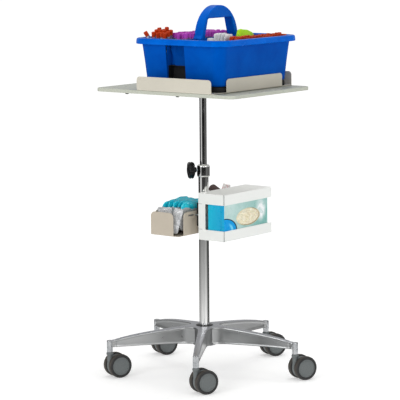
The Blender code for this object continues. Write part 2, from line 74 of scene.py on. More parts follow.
ahead = Vector((math.sin(YAW) * math.cos(PITCH), math.cos(YAW) * math.cos(PITCH), -math.sin(PITCH)))
right = ahead.cross(Vector((0, 0, 1))).normalized()
up = right.cross(ahead)
right, up = math.cos(ROLL) * right + math.sin(ROLL) * up, -math.sin(ROLL) * right + math.cos(ROLL) * up
axes = [to_frame(v) for v in (right, up, -ahead)]
place = Matrix(((axes[0].x, axes[1].x, axes[2].x), (axes[0].y, axes[1].y, axes[2].y), (axes[0].z, axes[1].z, axes[2].z))).to_4x4()
place.translation = MAST + to_frame(Vector((0.0, -DIST, HEIGHT)))
camera = bpy.data.cameras.new("camera")
camera.sensor_width = 36.0
camera.lens = 2059.369 / 400.0 * 36.0
camera.clip_end = 300.0
camera_object = bpy.data.objects.new("camera", camera)
camera_object.matrix_world = place
bpy.context.scene.collection.objects.link(camera_object)
bpy.context.scene.camera = camera_object


# ------------------------------------------------------------------ materials
def lin(r, g, b):
    """A display colour of 0 to 255 as linear light."""
    out = []
    for value in (r, g, b):
        x = value / 255.0
        out.append(x / 12.92 if x <= 0.04045 else ((x + 0.055) / 1.055) ** 2.4)
    return tuple(out)


class Finish:
    """A Principled material with a few short ways to add procedural detail."""

    def __init__(self, name, colour, rough=0.5, metal=0.0, **inputs):
        self.mat = bpy.data.materials.new(name)
        self.mat.use_nodes = True
        self.nodes, self.links = self.mat.node_tree.nodes, self.mat.node_tree.links
        self.bsdf = self.nodes["Principled BSDF"]
        self.bsdf.inputs["Base Color"].default_value = (*colour, 1.0)
        self.bsdf.inputs["Roughness"].default_value = rough
        self.bsdf.inputs["Metallic"].default_value = metal
        for key, value in inputs.items():
            self.bsdf.inputs[key.replace("_", " ")].default_value = value
        self.coord = self.nodes.new("ShaderNodeTexCoord").outputs["Object"]
        self.mat.diffuse_color = (*colour, 1.0)

    def new(self, kind, **settings):
        made = self.nodes.new(kind)
        for key, value in settings.items():
            setattr(made, key, value)
        return made

    def put(self, value, socket):
        if isinstance(value, bpy.types.NodeSocket):
            self.links.new(value, socket)
        elif hasattr(value, "__len__") and len(value) == 3 and socket.type == "RGBA":
            socket.default_value = (*value, 1.0)
        else:
            socket.default_value = value

    def stretched(self, scale):
        node = self.new("ShaderNodeMapping")
        self.put(self.coord, node.inputs["Vector"])
        node.inputs["Scale"].default_value = scale
        return node.outputs["Vector"]

    def noise(self, scale, detail=4.0, rough=0.55, vector=None, distort=0.0):
        node = self.new("ShaderNodeTexNoise")
        self.put(vector or self.coord, node.inputs["Vector"])
        node.inputs["Scale"].default_value = scale
        node.inputs["Detail"].default_value = detail
        node.inputs["Roughness"].default_value = rough
        node.inputs["Distortion"].default_value = distort
        return node.outputs["Fac"]

    def cells(self, scale, vector=None, feature="F1"):
        node = self.new("ShaderNodeTexVoronoi", feature=feature)
        self.put(vector or self.coord, node.inputs["Vector"])
        node.inputs["Scale"].default_value = scale
        return node.outputs["Distance"]

    def range(self, value, low, high, out_low, out_high, smooth=False):
        node = self.new("ShaderNodeMapRange")
        node.interpolation_type = "SMOOTHSTEP" if smooth else "LINEAR"
        self.put(value, node.inputs["Value"])
        for key, number in (("From Min", low), ("From Max", high), ("To Min", out_low), ("To Max", out_high)):
            self.put(number, node.inputs[key])
        return node.outputs["Result"]

    def math(self, operation, a, b=0.0, c=0.0):
        node = self.new("ShaderNodeMath", operation=operation)
        for socket, value in zip(node.inputs, (a, b, c)):
            self.put(value, socket)
        return node.outputs[0]

    def mix(self, share, a, b, blend="MIX"):
        node = self.new("ShaderNodeMix", data_type="RGBA", blend_type=blend)
        self.put(share, node.inputs[0])
        self.put(a, node.inputs[6])
        self.put(b, node.inputs[7])
        return node.outputs[2]

    def axis(self, which, source=None):
        node = self.new("ShaderNodeSeparateXYZ")
        self.put(source or self.coord, node.inputs[0])
        return node.outputs[which]

    def facing_up(self):
        return self.axis(2, self.new("ShaderNodeNewGeometry").outputs["Normal"])

    def colour(self, value):
        self.put(value, self.bsdf.inputs["Base Color"])

    def rough(self, value):
        self.put(value, self.bsdf.inputs["Roughness"])

    def bump(self, height, distance, strength=1.0):
        node = self.new("ShaderNodeBump")
        self.put(height, node.inputs["Height"])
        node.inputs["Distance"].default_value = distance
        node.inputs["Strength"].default_value = strength
        if self.bsdf.inputs["Normal"].is_linked:
            self.links.new(self.bsdf.inputs["Normal"].links[0].from_socket, node.inputs["Normal"])
        self.links.new(node.outputs["Normal"], self.bsdf.inputs["Normal"])


def moulded(name, colour, rough, grain=900.0, depth=0.00006, patchy=0.08, **inputs):
    """Injection-moulded plastic or powder coat: a fine grain, slightly uneven colour and gloss."""
    f = Finish(name, colour, rough, **inputs)
    cloud = f.noise(9.0, 5.0, 0.6)
    f.colour(f.mix(f.range(cloud, 0.3, 0.7, 0.0, 1.0), tuple(c * (1 - patchy) for c in colour), tuple(min(1.0, c * (1 + patchy)) for c in colour)))
    f.rough(f.range(f.noise(45.0, 4.0), 0.3, 0.7, max(0.02, rough - 0.07), rough + 0.07))
    f.bump(f.noise(grain, 3.0, 0.6), depth, 0.6)
    return f


chrome = Finish("chrome_plate", (0.80, 0.80, 0.80), 0.05, 1.0)
streak = chrome.noise(60.0, 5.0, 0.6, vector=chrome.stretched((9.0, 9.0, 0.5)))
chrome.colour(chrome.mix(chrome.range(streak, 0.35, 0.7, 0.0, 1.0), (0.70, 0.705, 0.70), (0.84, 0.835, 0.815)))
chrome.rough(chrome.range(chrome.noise(35.0, 6.0), 0.3, 0.75, 0.03, 0.11))
chrome.bump(streak, 0.00002, 0.35)

# Painted light by facing: up-facing faces get a lighter tone and down-facing faces a near-black painted shade. Sides
# that face the camera's right are painted lighter than sides that face left. Only the mottle on the sides is random
# tone.
cast = Finish("polished_casting", (0.62, 0.63, 0.64), 0.3, 1.0)
up_facing_painted_light = cast.range(cast.facing_up(), 0.45, 0.9, 0.0, 1.0, True)
down_facing_painted_shade = cast.range(cast.facing_up(), -0.5, -0.12, 1.0, 0.0, True)
right_facing_dot = cast.new("ShaderNodeVectorMath", operation="DOT_PRODUCT")
cast.put(cast.new("ShaderNodeNewGeometry").outputs["Normal"], right_facing_dot.inputs[0])
right_facing_dot.inputs[1].default_value = tuple(to_frame(Vector((1.0, 0.0, 0.0))))
painted_right_side_light = cast.range(right_facing_dot.outputs["Value"], -0.5, 0.5, 0.0, 1.0, True)
mottle = cast.noise(14.0, 4.0, 0.5, vector=cast.stretched((1.0, 1.0, 3.2)))
side_mottle_and_painted_light = cast.mix(cast.range(mottle, 0.25, 0.8, 0.0, 1.0), (0.27, 0.277, 0.28), (0.31, 0.317, 0.318))
side_mottle_and_painted_light = cast.mix(painted_right_side_light, side_mottle_and_painted_light, (0.43, 0.435, 0.435))
side_mottle_and_painted_light = cast.mix(down_facing_painted_shade, side_mottle_and_painted_light, (0.10, 0.104, 0.106))
cast.colour(cast.mix(up_facing_painted_light, side_mottle_and_painted_light, (0.43, 0.44, 0.47)))
cast.rough(cast.math("SUBTRACT", cast.range(cast.noise(40.0, 5.0), 0.3, 0.7, 0.27, 0.33), cast.math("MULTIPLY", up_facing_painted_light, 0.01)))
cast.bump(cast.noise(300.0, 3.0), 0.00002, 0.12)
cast.bump(cast.noise(9.0, 2.0), 0.0004, 0.15)

boss_metal = Finish("turned_boss", (0.70, 0.71, 0.73), 0.16, 1.0)
boss_metal.colour(boss_metal.mix(boss_metal.range(boss_metal.noise(50.0, 5.0), 0.3, 0.7, 0, 1), (0.36, 0.375, 0.39), (0.52, 0.53, 0.54)))
boss_metal.rough(boss_metal.range(boss_metal.noise(120.0, 4.0), 0.3, 0.7, 0.10, 0.24))
boss_metal.bump(boss_metal.noise(60.0, 3.0, vector=boss_metal.stretched((1, 1, 6))), 0.00003, 0.3)

zinc = Finish("zinc_plate", (0.42, 0.50, 0.55), 0.32, 1.0)
zinc.colour(zinc.mix(zinc.range(zinc.noise(140.0, 5.0), 0.3, 0.7, 0, 1), (0.36, 0.45, 0.50), (0.55, 0.60, 0.63)))
zinc.rough(zinc.range(zinc.noise(90.0, 5.0), 0.3, 0.7, 0.22, 0.42))
zinc.bump(zinc.noise(700.0, 3.0), 0.00004, 0.4)

black = moulded("black_moulding", (0.006, 0.006, 0.0065), 0.30, 700.0, 0.00008, 0.2, Specular_IOR_Level=0.2)
foam = Finish("closed_cell_foam", (0.008, 0.008, 0.009), 0.7, Specular_IOR_Level=0.2)
foam.colour(foam.mix(foam.range(foam.cells(450.0), 0.0, 0.6, 0, 1), (0.003, 0.003, 0.0035), (0.014, 0.014, 0.015)))
foam.bump(foam.cells(520.0), 0.0003, 0.7)
foam.rough(foam.range(foam.noise(60.0), 0.3, 0.7, 0.45, 0.75))

tyre = Finish("tyre_rubber", (0.03, 0.028, 0.026), 0.72)
radius = tyre.new("ShaderNodeVectorMath", operation="LENGTH")
flat_xy = tyre.new("ShaderNodeVectorMath", operation="MULTIPLY")
tyre.put(tyre.coord, flat_xy.inputs[0])
flat_xy.inputs[1].default_value = (1.0, 1.0, 0.0)
tyre.put(flat_xy.outputs[0], radius.inputs[0])
tread = tyre.range(radius.outputs["Value"], 0.0352, 0.0372, 0.0, 1.0, True)
dust = tyre.math("MULTIPLY", tread, tyre.range(tyre.noise(60.0, 6.0, 0.7), 0.35, 0.7, 0.35, 1.0))
tyre.colour(tyre.mix(dust, (0.018, 0.018, 0.018), (0.066, 0.055, 0.044)))
tyre.rough(tyre.range(tyre.noise(80.0, 5.0), 0.3, 0.7, 0.55, 0.8))
tyre.bump(tyre.noise(900.0, 3.0), 0.0001, 0.6)

caster_grey = moulded("caster_grey", (0.13, 0.145, 0.147), 0.42, 1100.0, 0.00007, 0.10)
caster_disc = Finish("caster_disc", (0.14, 0.155, 0.157), 0.45)
speck = caster_disc.noise(420.0, 5.0, 0.7)
caster_disc.colour(caster_disc.mix(caster_disc.range(speck, 0.35, 0.7, 0, 1), (0.095, 0.108, 0.109), (0.150, 0.164, 0.164)))
caster_disc.rough(caster_disc.range(caster_disc.noise(60.0, 5.0), 0.3, 0.7, 0.36, 0.54))
caster_disc.bump(caster_disc.noise(900.0, 4.0), 0.0001, 0.7)

laminate = Finish("top_laminate", lin(190, 193, 180), 0.34)
fleck = laminate.noise(520.0, 5.0, 0.75)
broad = laminate.noise(6.0, 4.0, 0.6)
tone = laminate.mix(laminate.range(fleck, 0.38, 0.66, 0, 1), lin(174, 177, 163), lin(195, 197, 184))
laminate.colour(laminate.mix(laminate.range(broad, 0.3, 0.7, 0.0, 0.35), tone, lin(181, 187, 177)))
laminate.rough(laminate.range(laminate.noise(30.0, 6.0), 0.3, 0.7, 0.24, 0.42))
laminate.bump(laminate.noise(650.0, 4.0), 0.0001, 0.5)

tray_coat = moulded("tray_powder_coat", lin(197, 192, 178), 0.36, 600.0, 0.00011, 0.035)
bin_coat = moulded("bin_powder_coat", lin(187, 177, 161), 0.40, 600.0, 0.00011, 0.04)
white_coat = moulded("white_powder_coat", lin(236, 238, 235), 0.36, 480.0, 0.00014, 0.015)

blue = Finish("tote_polypropylene", lin(0, 82, 178), 0.40)
shade = blue.noise(14.0, 5.0, 0.6)
blue.colour(blue.mix(blue.range(shade, 0.3, 0.7, 0, 1), lin(0, 70, 161), lin(0, 82, 177)))
blue.rough(blue.range(blue.noise(55.0, 5.0), 0.3, 0.7, 0.33, 0.47))
blue.bump(blue.noise(520.0, 4.0, 0.6), 0.00022, 0.7)
blue.bsdf.inputs["Specular IOR Level"].default_value = 0.03
blue.bsdf.inputs["Specular Tint"].default_value = (0.0, 0.24, 0.95, 1.0)
# Painted shade: a darker copy of the tote blue for the drawn-in slot panel, standing in for the shade of the recess.
shaded_blue = moulded("tote_blue_painted_shade", lin(0, 62, 140), 0.42, 520.0, 0.00012, 0.05, Specular_IOR_Level=0.05, Specular_Tint=(0.0, 0.24, 0.95, 1.0))
rim_blue = Finish("tote_rim_gloss", lin(0, 98, 206), 0.22)
rim_blue.bsdf.inputs["Specular IOR Level"].default_value = 0.14
rim_blue.bsdf.inputs["Specular Tint"].default_value = (0.0, 0.42, 1.0, 1.0)
rim_blue.colour(rim_blue.mix(rim_blue.range(rim_blue.noise(20.0, 5.0), 0.3, 0.7, 0, 1), lin(0, 86, 188), lin(0, 100, 208)))
rim_blue.rough(rim_blue.range(rim_blue.noise(60.0, 5.0), 0.3, 0.7, 0.17, 0.30))
rim_blue.bump(rim_blue.noise(260.0, 3.0), 0.00012, 0.5)

orange = moulded("cap_orange", lin(192, 56, 10), 0.36, 900.0, 0.00005, 0.18, Specular_Tint=(1.0, 0.55, 0.35, 1.0))
purple = moulded("cap_purple", lin(192, 72, 190), 0.38, 900.0, 0.00005, 0.16, Specular_Tint=(1.0, 0.6, 1.0, 1.0))
glass = Finish("tube_glass", (0.90, 0.93, 0.93), 0.06, 0.0, Transmission_Weight=0.85, IOR=1.45)
glass.rough(glass.range(glass.noise(80.0), 0.3, 0.7, 0.03, 0.12))

paper = Finish("wrapped_gauze", lin(232, 232, 230), 0.55)
crease = paper.noise(55.0, 6.0, 0.7, distort=0.8)
# Painted crease shade: the colour follows the crease bump, greyer in its hollows and white on its crests.
paper.colour(paper.mix(paper.range(crease, 0.35, 0.68, 0, 1), lin(196, 198, 200), lin(246, 246, 244)))
paper.bump(crease, 0.0016, 0.8)
paper.rough(paper.range(paper.noise(90.0), 0.3, 0.7, 0.35, 0.6))

lime = Finish("lime_film", lin(158, 205, 38), 0.34, Coat_Weight=0.1, Coat_Roughness=0.12, Specular_IOR_Level=0.25)
fold = lime.noise(26.0, 5.0, 0.6, distort=1.2)
# Painted fold shade: the colour follows the fold bump, darker green in its hollows and lighter on its crests.
lime.colour(lime.mix(lime.range(fold, 0.35, 0.65, 0, 1), lin(140, 205, 6), lin(196, 240, 40)))
lime.bump(fold, 0.0022, 0.8)
lime.rough(lime.range(lime.noise(70.0), 0.3, 0.7, 0.2, 0.4))

# a pouch of clear film whose sealed upper part is tinted cyan: the share is stored on the mesh
pouch = Finish("pouch_film", (0.7, 0.72, 0.74), 0.16, Coat_Weight=0.4, Coat_Roughness=0.05, Transmission_Weight=0.10, IOR=1.45)
tint = pouch.new("ShaderNodeAttribute", attribute_name="tint").outputs["Fac"]
film = pouch.noise(70.0, 6.0, 0.7, distort=1.5)
# Painted sheen and shade: both film tones follow the crease bump, greyer or deeper cyan in its hollows and paler on its
# crests.
clear = pouch.mix(pouch.range(film, 0.35, 0.7, 0, 1), lin(158, 160, 162), lin(244, 245, 247))
cyan_top = pouch.mix(pouch.range(film, 0.35, 0.68, 0, 1), lin(0, 192, 222), lin(56, 232, 250))
pouch.colour(pouch.mix(pouch.range(tint, 0.45, 0.55, 0, 1), clear, cyan_top))
pouch.rough(pouch.range(pouch.noise(120.0, 5.0), 0.3, 0.7, 0.08, 0.28))
pouch.bump(film, 0.0009, 0.6)
pouch.bump(pouch.noise(30.0, 3.0, 0.5, distort=1.2), 0.0045, 0.6)

bandage = Finish("dark_bandage", lin(52, 36, 36), 0.7)
weave = bandage.noise(300.0, 4.0, 0.7, vector=bandage.stretched((1.0, 6.0, 6.0)))
bandage.colour(bandage.mix(bandage.range(weave, 0.3, 0.7, 0, 1), lin(42, 30, 30), lin(92, 70, 68)))
bandage.bump(weave, 0.0004, 0.7)
pink = Finish("pink_pouch", lin(214, 176, 178), 0.3, Coat_Weight=0.4, Coat_Roughness=0.1)
patch = pink.noise(24.0, 5.0, 0.7, distort=1.0)
pink.colour(pink.mix(pink.range(patch, 0.56, 0.62, 0, 1), lin(240, 238, 236), lin(214, 132, 138)))
pink.bump(pink.noise(60.0, 5.0, distort=1.5), 0.002, 0.8)

latex = Finish("latex_glove", lin(232, 220, 186), 0.5, Subsurface_Weight=0.15)
latex.bsdf.inputs["Subsurface Radius"].default_value = (0.004, 0.003, 0.002)
pucker = latex.noise(85.0, 5.0, 0.65, distort=1.0)
# Painted pucker shade: the colour follows the pucker bump, darker in its hollows and paler on its crests.
latex.colour(latex.mix(latex.range(pucker, 0.3, 0.7, 0, 1), lin(220, 208, 170), lin(247, 243, 225)))
latex.bump(pucker, 0.0007, 0.7)


def carton_finish():
    """Printed board: a teal-grey panel with a plain blue quarter round; its ends are cyan."""
    low, high = (v * 0.001 for v in node_mm("glove_box"))
    f = Finish("printed_carton", lin(160, 195, 194), 0.32, Coat_Weight=0.12, Coat_Roughness=0.12, Specular_IOR_Level=0.25)
    x, y, z = (f.axis(i) for i in range(3))
    mottled = f.noise(30.0, 5.0, 0.6)
    pale, deep = lin(190, 217, 213), lin(118, 180, 172)
    lengthwise = f.range(y, low.y, high.y, 0.0, 1.0, True)
    rising = f.range(z, low.z, high.z, 0.55, 0.0, True)
    teal = f.mix(f.math("ADD", f.math("MULTIPLY", lengthwise, 0.75), f.math("MULTIPLY", rising, 0.45)), pale, deep)
    teal = f.mix(f.range(mottled, 0.45, 0.75, 0.0, 0.35), teal, lin(232, 246, 246))
    # a soft white bloom towards the far end
    dy = f.math("DIVIDE", f.math("SUBTRACT", y, high.y - 0.036), 0.030)
    dz = f.math("DIVIDE", f.math("SUBTRACT", z, low.z + 0.078), 0.042)
    far = f.math("SQRT", f.math("ADD", f.math("MULTIPLY", dy, dy), f.math("MULTIPLY", dz, dz)))
    bloom = f.math("MULTIPLY", f.range(far, 0.35, 1.05, 1.0, 0.0, True), f.range(f.noise(45.0, 5.0, distort=1.5), 0.3, 0.6, 0.35, 0.95))
    teal = f.mix(bloom, teal, lin(252, 252, 254))
    # the quarter round in the lower near corner, with a dark rim and a lighter crescent
    dy = f.math("DIVIDE", f.math("SUBTRACT", y, low.y), 0.066)
    dz = f.math("DIVIDE", f.math("SUBTRACT", z, low.z + 0.030), 0.040)
    ring = f.math("SQRT", f.math("ADD", f.math("MULTIPLY", dy, dy), f.math("MULTIPLY", dz, dz)))
    below = f.range(dz, -0.05, 0.0, 1.0, 0.0)
    rim = f.math("MULTIPLY", f.range(ring, 0.99, 1.01, 1.0, 0.0), f.range(ring, 0.91, 0.94, 0.0, 1.0))
    disc = f.range(ring, 0.94, 0.96, 1.0, 0.0)
    crescent = f.math("MULTIPLY", f.range(f.math("ABSOLUTE", f.math("SUBTRACT", ring, 0.62)), 0.04, 0.12, 1.0, 0.0, True), f.range(dy, 0.30, 0.55, 0.0, 0.85, True))
    front = f.mix(disc, teal, f.mix(crescent, lin(0, 156, 226), lin(120, 220, 250)))
    front = f.mix(rim, front, lin(12, 36, 62))
    # the ends: cyan, a little deeper towards the front, with a perforated line
    across = f.range(x, low.x, high.x, 0.0, 1.0)
    end = f.mix(across, lin(0, 172, 202), lin(0, 150, 197))
    end = f.mix(f.range(f.noise(60.0, 5.0, 0.7, vector=f.stretched((1, 1, 0.3))), 0.45, 0.75, 0.0, 0.4), end, lin(0, 190, 218))
    line = f.range(f.math("ABSOLUTE", f.math("SUBTRACT", x, high.x - 0.0125)), 0.0006, 0.0011, 1.0, 0.0)
    dash = f.math("GREATER_THAN", f.math("FRACT", f.math("MULTIPLY", z, 210.0)), 0.35)
    end = f.mix(f.math("MULTIPLY", f.math("MULTIPLY", line, dash), 0.8), end, lin(0, 78, 120))
    normal_y = f.math("ABSOLUTE", f.axis(1, f.new("ShaderNodeNewGeometry").outputs["Normal"]))
    from_middle = f.math("ABSOLUTE", f.math("SUBTRACT", y, (low.y + high.y) / 2))
    outermost = f.range(from_middle, (high.y - low.y) / 2 - 0.0021, (high.y - low.y) / 2 - 0.0018, 0.0, 1.0)
    dy = f.math("DIVIDE", f.math("SUBTRACT", y, low.y + 0.124), 0.0635)
    dz = f.math("DIVIDE", f.math("SUBTRACT", z, 0.499), 0.0290)
    in_oval = f.range(f.math("SQRT", f.math("ADD", f.math("MULTIPLY", dy, dy), f.math("MULTIPLY", dz, dz))), 0.995, 1.0, 1.0, 0.0)
    recessed = f.math("MULTIPLY", in_oval, f.range(x, high.x - 0.0004, high.x - 0.0002, 1.0, 0.0))
    printed = f.mix(f.math("MULTIPLY", outermost, f.range(normal_y, 0.5, 0.7, 0.0, 1.0)), front, end)
    f.colour(f.mix(recessed, printed, lin(226, 216, 192)))
    f.rough(f.range(f.noise(90.0, 4.0), 0.3, 0.7, 0.22, 0.40))
    f.bump(f.noise(220.0, 4.0), 0.00012, 0.5)
    f.bump(f.noise(14.0, 3.0), 0.0010, 0.35)
    return f


carton = carton_finish()
board = moulded("raw_board", lin(176, 160, 134), 0.8, 500.0, 0.0002, 0.08)


# ------------------------------------------------------------------ mesh helpers
made_pieces = []


def emit(name, bm, finish, body, replaces=(), sharp=38.0, matrix=None, extra=(), weld=True):
    """Turns a bmesh in millimetres into a placed piece that rides on a body."""
    if weld:
        bmesh.ops.remove_doubles(bm, verts=bm.verts, dist=0.002)
    bmesh.ops.recalc_face_normals(bm, faces=bm.faces)
    bmesh.ops.scale(bm, verts=bm.verts, vec=(0.001, 0.001, 0.001))
    mesh = bpy.data.meshes.new(name)
    bm.to_mesh(mesh)
    bm.free()
    return settle(name, mesh, finish, body, replaces, sharp, matrix, extra)


def settle(name, mesh, finish, body, replaces=(), sharp=38.0, matrix=None, extra=()):
    if not mesh.materials:
        mesh.materials.append(finish.mat)
        for more in extra:
            mesh.materials.append(more.mat)
    mesh.shade_smooth()
    if sharp is not None:
        mesh.set_sharp_from_angle(angle=math.radians(sharp))
    obj = bpy.data.objects.new(name, mesh)
    bpy.context.scene.collection.objects.link(obj)
    obj.matrix_world = matrix if matrix is not None else Matrix.Translation(MAST)
    if mesh.users == 1 and sharp is not None:
        weigh(obj)
    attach(obj, body)
    if replaces:
        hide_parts(*replaces)
    made_pieces.append(obj)
    return obj


def weigh(obj):
    """Shading normals that follow the large faces, so flats and cylinders stay true beside their bevels."""
    step = obj.modifiers.new("normals", "WEIGHTED_NORMAL")
    step.keep_sharp, step.weight = True, 75
    return bake_modifiers(obj)


def bake_modifiers(obj):
    """Replaces an object's mesh by what its modifiers make of it."""
    bpy.context.view_layer.update()
    done = bpy.data.meshes.new_from_object(obj.evaluated_get(bpy.context.evaluated_depsgraph_get()))
    obj.modifiers.clear()
    old = obj.data
    obj.data = done
    bpy.data.meshes.remove(old)
    return obj


def scratch(bm, name="scratch"):
    mesh = bpy.data.meshes.new(name)
    bmesh.ops.recalc_face_normals(bm, faces=bm.faces)
    bm.to_mesh(mesh)
    bm.free()
    obj = bpy.data.objects.new(name, mesh)
    bpy.context.scene.collection.objects.link(obj)
    return obj


def combine(base, others, operation="UNION", bevel=0.0, segments=3, angle=30.0):
    """A boolean of bmeshes in millimetres, then an optional edge bevel; returns a bmesh."""
    target = scratch(base)
    helpers = [scratch(o, "helper") for o in others]
    for helper in helpers:
        step = target.modifiers.new("join", "BOOLEAN")
        step.operation, step.solver, step.object = operation, "EXACT", helper
    bake_modifiers(target)
    if bevel:
        soften(target, bevel, segments, angle)
        bake_modifiers(target)
    out = bmesh.new()
    out.from_mesh(target.data)
    for o in [target, *helpers]:
        mesh = o.data
        bpy.data.objects.remove(o)
        bpy.data.meshes.remove(mesh)
    return out


def soften(obj, width, segments=3, angle=30.0):
    step = obj.modifiers.new("edge", "BEVEL")
    step.width, step.segments = width, segments
    step.limit_method, step.angle_limit = "ANGLE", math.radians(angle)
    step.use_clamp_overlap = True
    step.miter_outer = "MITER_ARC"
    return step


def lathe(profile, steps=96, closed=False, wobble=None):
    """A (radius, height) profile turned about Z; wobble(bearing, radius) can change the radius."""
    bm = bmesh.new()
    rings = []
    for r, z in profile:
        if r < 1e-6:
            rings.append([bm.verts.new((0.0, 0.0, z))])
            continue
        ring = []
        for i in range(steps):
            a = TAU * i / steps
            reach = wobble(a, r) if wobble else r
            ring.append(bm.verts.new((reach * math.cos(a), reach * math.sin(a), z)))
        rings.append(ring)
    pairs = list(zip(rings, rings[1:])) + ([(rings[-1], rings[0])] if closed else [])
    for one, two in pairs:
        for i in range(steps):
            j = (i + 1) % steps
            if len(one) == 1 and len(two) == 1:
                break
            if len(one) == 1:
                bm.faces.new((one[0], two[i], two[j]))
            elif len(two) == 1:
                bm.faces.new((one[i], two[0], one[j]))
            else:
                bm.faces.new((one[i], two[i], two[j], one[j]))
    if not closed:
        for ring in (rings[0], rings[-1]):
            if len(ring) > 1:
                bm.faces.new(ring)
    return bm


def rounded(cx, cy, hx, hy, r, z, per=10):
    """A rounded rectangle's points, the same number for any size."""
    r = max(0.01, min(r, hx - 0.01, hy - 0.01))
    out = []
    for sx, sy, start in ((1, 1, 0.0), (-1, 1, 90.0), (-1, -1, 180.0), (1, -1, 270.0)):
        for i in range(per + 1):
            a = math.radians(start + 90.0 * i / per)
            out.append(Vector((cx + sx * (hx - r) + r * math.cos(a), cy + sy * (hy - r) + r * math.sin(a), z)))
    return out


def loft(loops, cap_start=True, cap_end=True, closed=False):
    bm = bmesh.new()
    rows = [[bm.verts.new(p) for p in loop] for loop in loops]
    n = len(rows[0])
    pairs = list(zip(rows, rows[1:])) + ([(rows[-1], rows[0])] if closed else [])
    for one, two in pairs:
        for i in range(n):
            j = (i + 1) % n
            bm.faces.new((one[i], one[j], two[j], two[i]))
    if not closed:
        if cap_start:
            bm.faces.new(rows[0])
        if cap_end:
            bm.faces.new(rows[-1])
    return bm


def arc(cx, cz, r, a0, a1, n):
    """Points (offset, height) on an arc, angles in degrees."""
    return [(cx + r * math.cos(math.radians(a0 + (a1 - a0) * i / n)), cz + r * math.sin(math.radians(a0 + (a1 - a0) * i / n))) for i in range(n + 1)]


def block(x, y, z, bevel=0.0, segments=3):
    bm = bmesh.new()
    bmesh.ops.create_cube(bm, size=1.0)
    for v in bm.verts:
        v.co = Vector((x[0] if v.co.x < 0 else x[1], y[0] if v.co.y < 0 else y[1], z[0] if v.co.z < 0 else z[1]))
    if bevel:
        bmesh.ops.bevel(bm, geom=list(bm.edges), offset=bevel, segments=segments, profile=0.5, affect="EDGES")
    return bm


def merged(parts):
    """Several bmeshes as one."""
    out = bmesh.new()
    for part in parts:
        mesh = bpy.data.meshes.new("part")
        part.to_mesh(mesh)
        part.free()
        out.from_mesh(mesh)
        bpy.data.meshes.remove(mesh)
    return out


def moved(bm, matrix):
    bmesh.ops.transform(bm, matrix=matrix, verts=bm.verts)
    return bm


def cad_copy(name, finish, body, width, segments=3, angle=35.0, sharp=40.0):
    """A CAD node's own shape with its flats cleaned and its edges rounded."""
    low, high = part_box(name)
    bm = bmesh.new()
    bm.from_mesh(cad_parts[name].data)
    bmesh.ops.translate(bm, verts=bm.verts, vec=-MAST)
    bmesh.ops.scale(bm, verts=bm.verts, vec=(1000.0, 1000.0, 1000.0))
    bmesh.ops.remove_doubles(bm, verts=bm.verts, dist=0.01)
    bmesh.ops.dissolve_limit(bm, angle_limit=math.radians(1.0), verts=bm.verts, edges=bm.edges)
    obj = scratch(bm)
    soften(obj, width, segments, angle)
    bake_modifiers(obj)
    out = bmesh.new()
    out.from_mesh(obj.data)
    bpy.data.objects.remove(obj)
    return emit(name + "_finish", out, finish, body, (name,), sharp)


# ------------------------------------------------------------------ base casting
ARM_ANGLES = (14.6, 86.6, 158.6, 230.6, 302.6)
STEM_AT = 305.0
ARM_TOP = ((20, 151.6), (60, 151.0), (100, 147.5), (150, 142.5), (200, 136.5), (250, 128.5), (299, 117.9))
ARM_LOW = ((20, 96.6), (60, 97.6), (100, 98.5), (200, 99.0), (299, 97.5))
ARM_WIDE = ((20, 16.9), (60, 14.5), (150, 12.5), (299, 9.6))


def read(points, x):
    """A Catmull-Rom reading of a short table."""
    if x <= points[0][0]:
        return points[0][1]
    for i in range(len(points) - 1):
        x1, y1 = points[i]
        x2, y2 = points[i + 1]
        if x <= x2:
            x0, y0 = points[i - 1] if i else (2 * x1 - x2, 2 * y1 - y2)
            x3, y3 = points[i + 2] if i + 2 < len(points) else (2 * x2 - x1, 2 * y2 - y1)
            t = (x - x1) / (x2 - x1)
            m1, m2 = (y2 - y0) / (x2 - x0) * (x2 - x1), (y3 - y1) / (x3 - x1) * (x2 - x1)
            return (2 * t ** 3 - 3 * t ** 2 + 1) * y1 + (t ** 3 - 2 * t ** 2 + t) * m1 + (-2 * t ** 3 + 3 * t ** 2) * y2 + (t ** 3 - t ** 2) * m2
    return points[-1][1]


def arm_section(r):
    wide = read(ARM_WIDE, r)
    if r < 84:
        wide += 12.5 * ((84 - r) / 46.0) ** 2.2
    if 283 < r < 294:
        wide -= 2.4 * math.sin(math.pi * (r - 283) / 11.0)
    top, low = read(ARM_TOP, r), read(ARM_LOW, r)
    outer = [
        (wide - 0.7, low), (wide, low + 0.8), (wide, low + 2.8), (wide - 1.0, low + 4.4), (wide - 1.5, low + 8.0),
        (wide - 1.5, top - 10.0), (wide - 1.1, top - 6.5), (wide - 0.2, top - 4.8), (wide, top - 3.2), (wide - 0.9, top - 1.2),
        (wide - 2.8, top - 0.2), (wide * 0.4, top + 0.2), (0.0, top + 0.25),
    ]
    roof = top - 6.0
    inner = [(wide - 4.2, low), (wide - 4.8, roof - 3.0), (wide - 6.0, roof)]
    loop = outer + [(-y, z) for y, z in reversed(outer[:-1])]
    loop += [(-y, z) for y, z in inner] + [(0.0, roof)] + list(reversed(inner))
    return [Vector((r, y, z)) for y, z in loop]


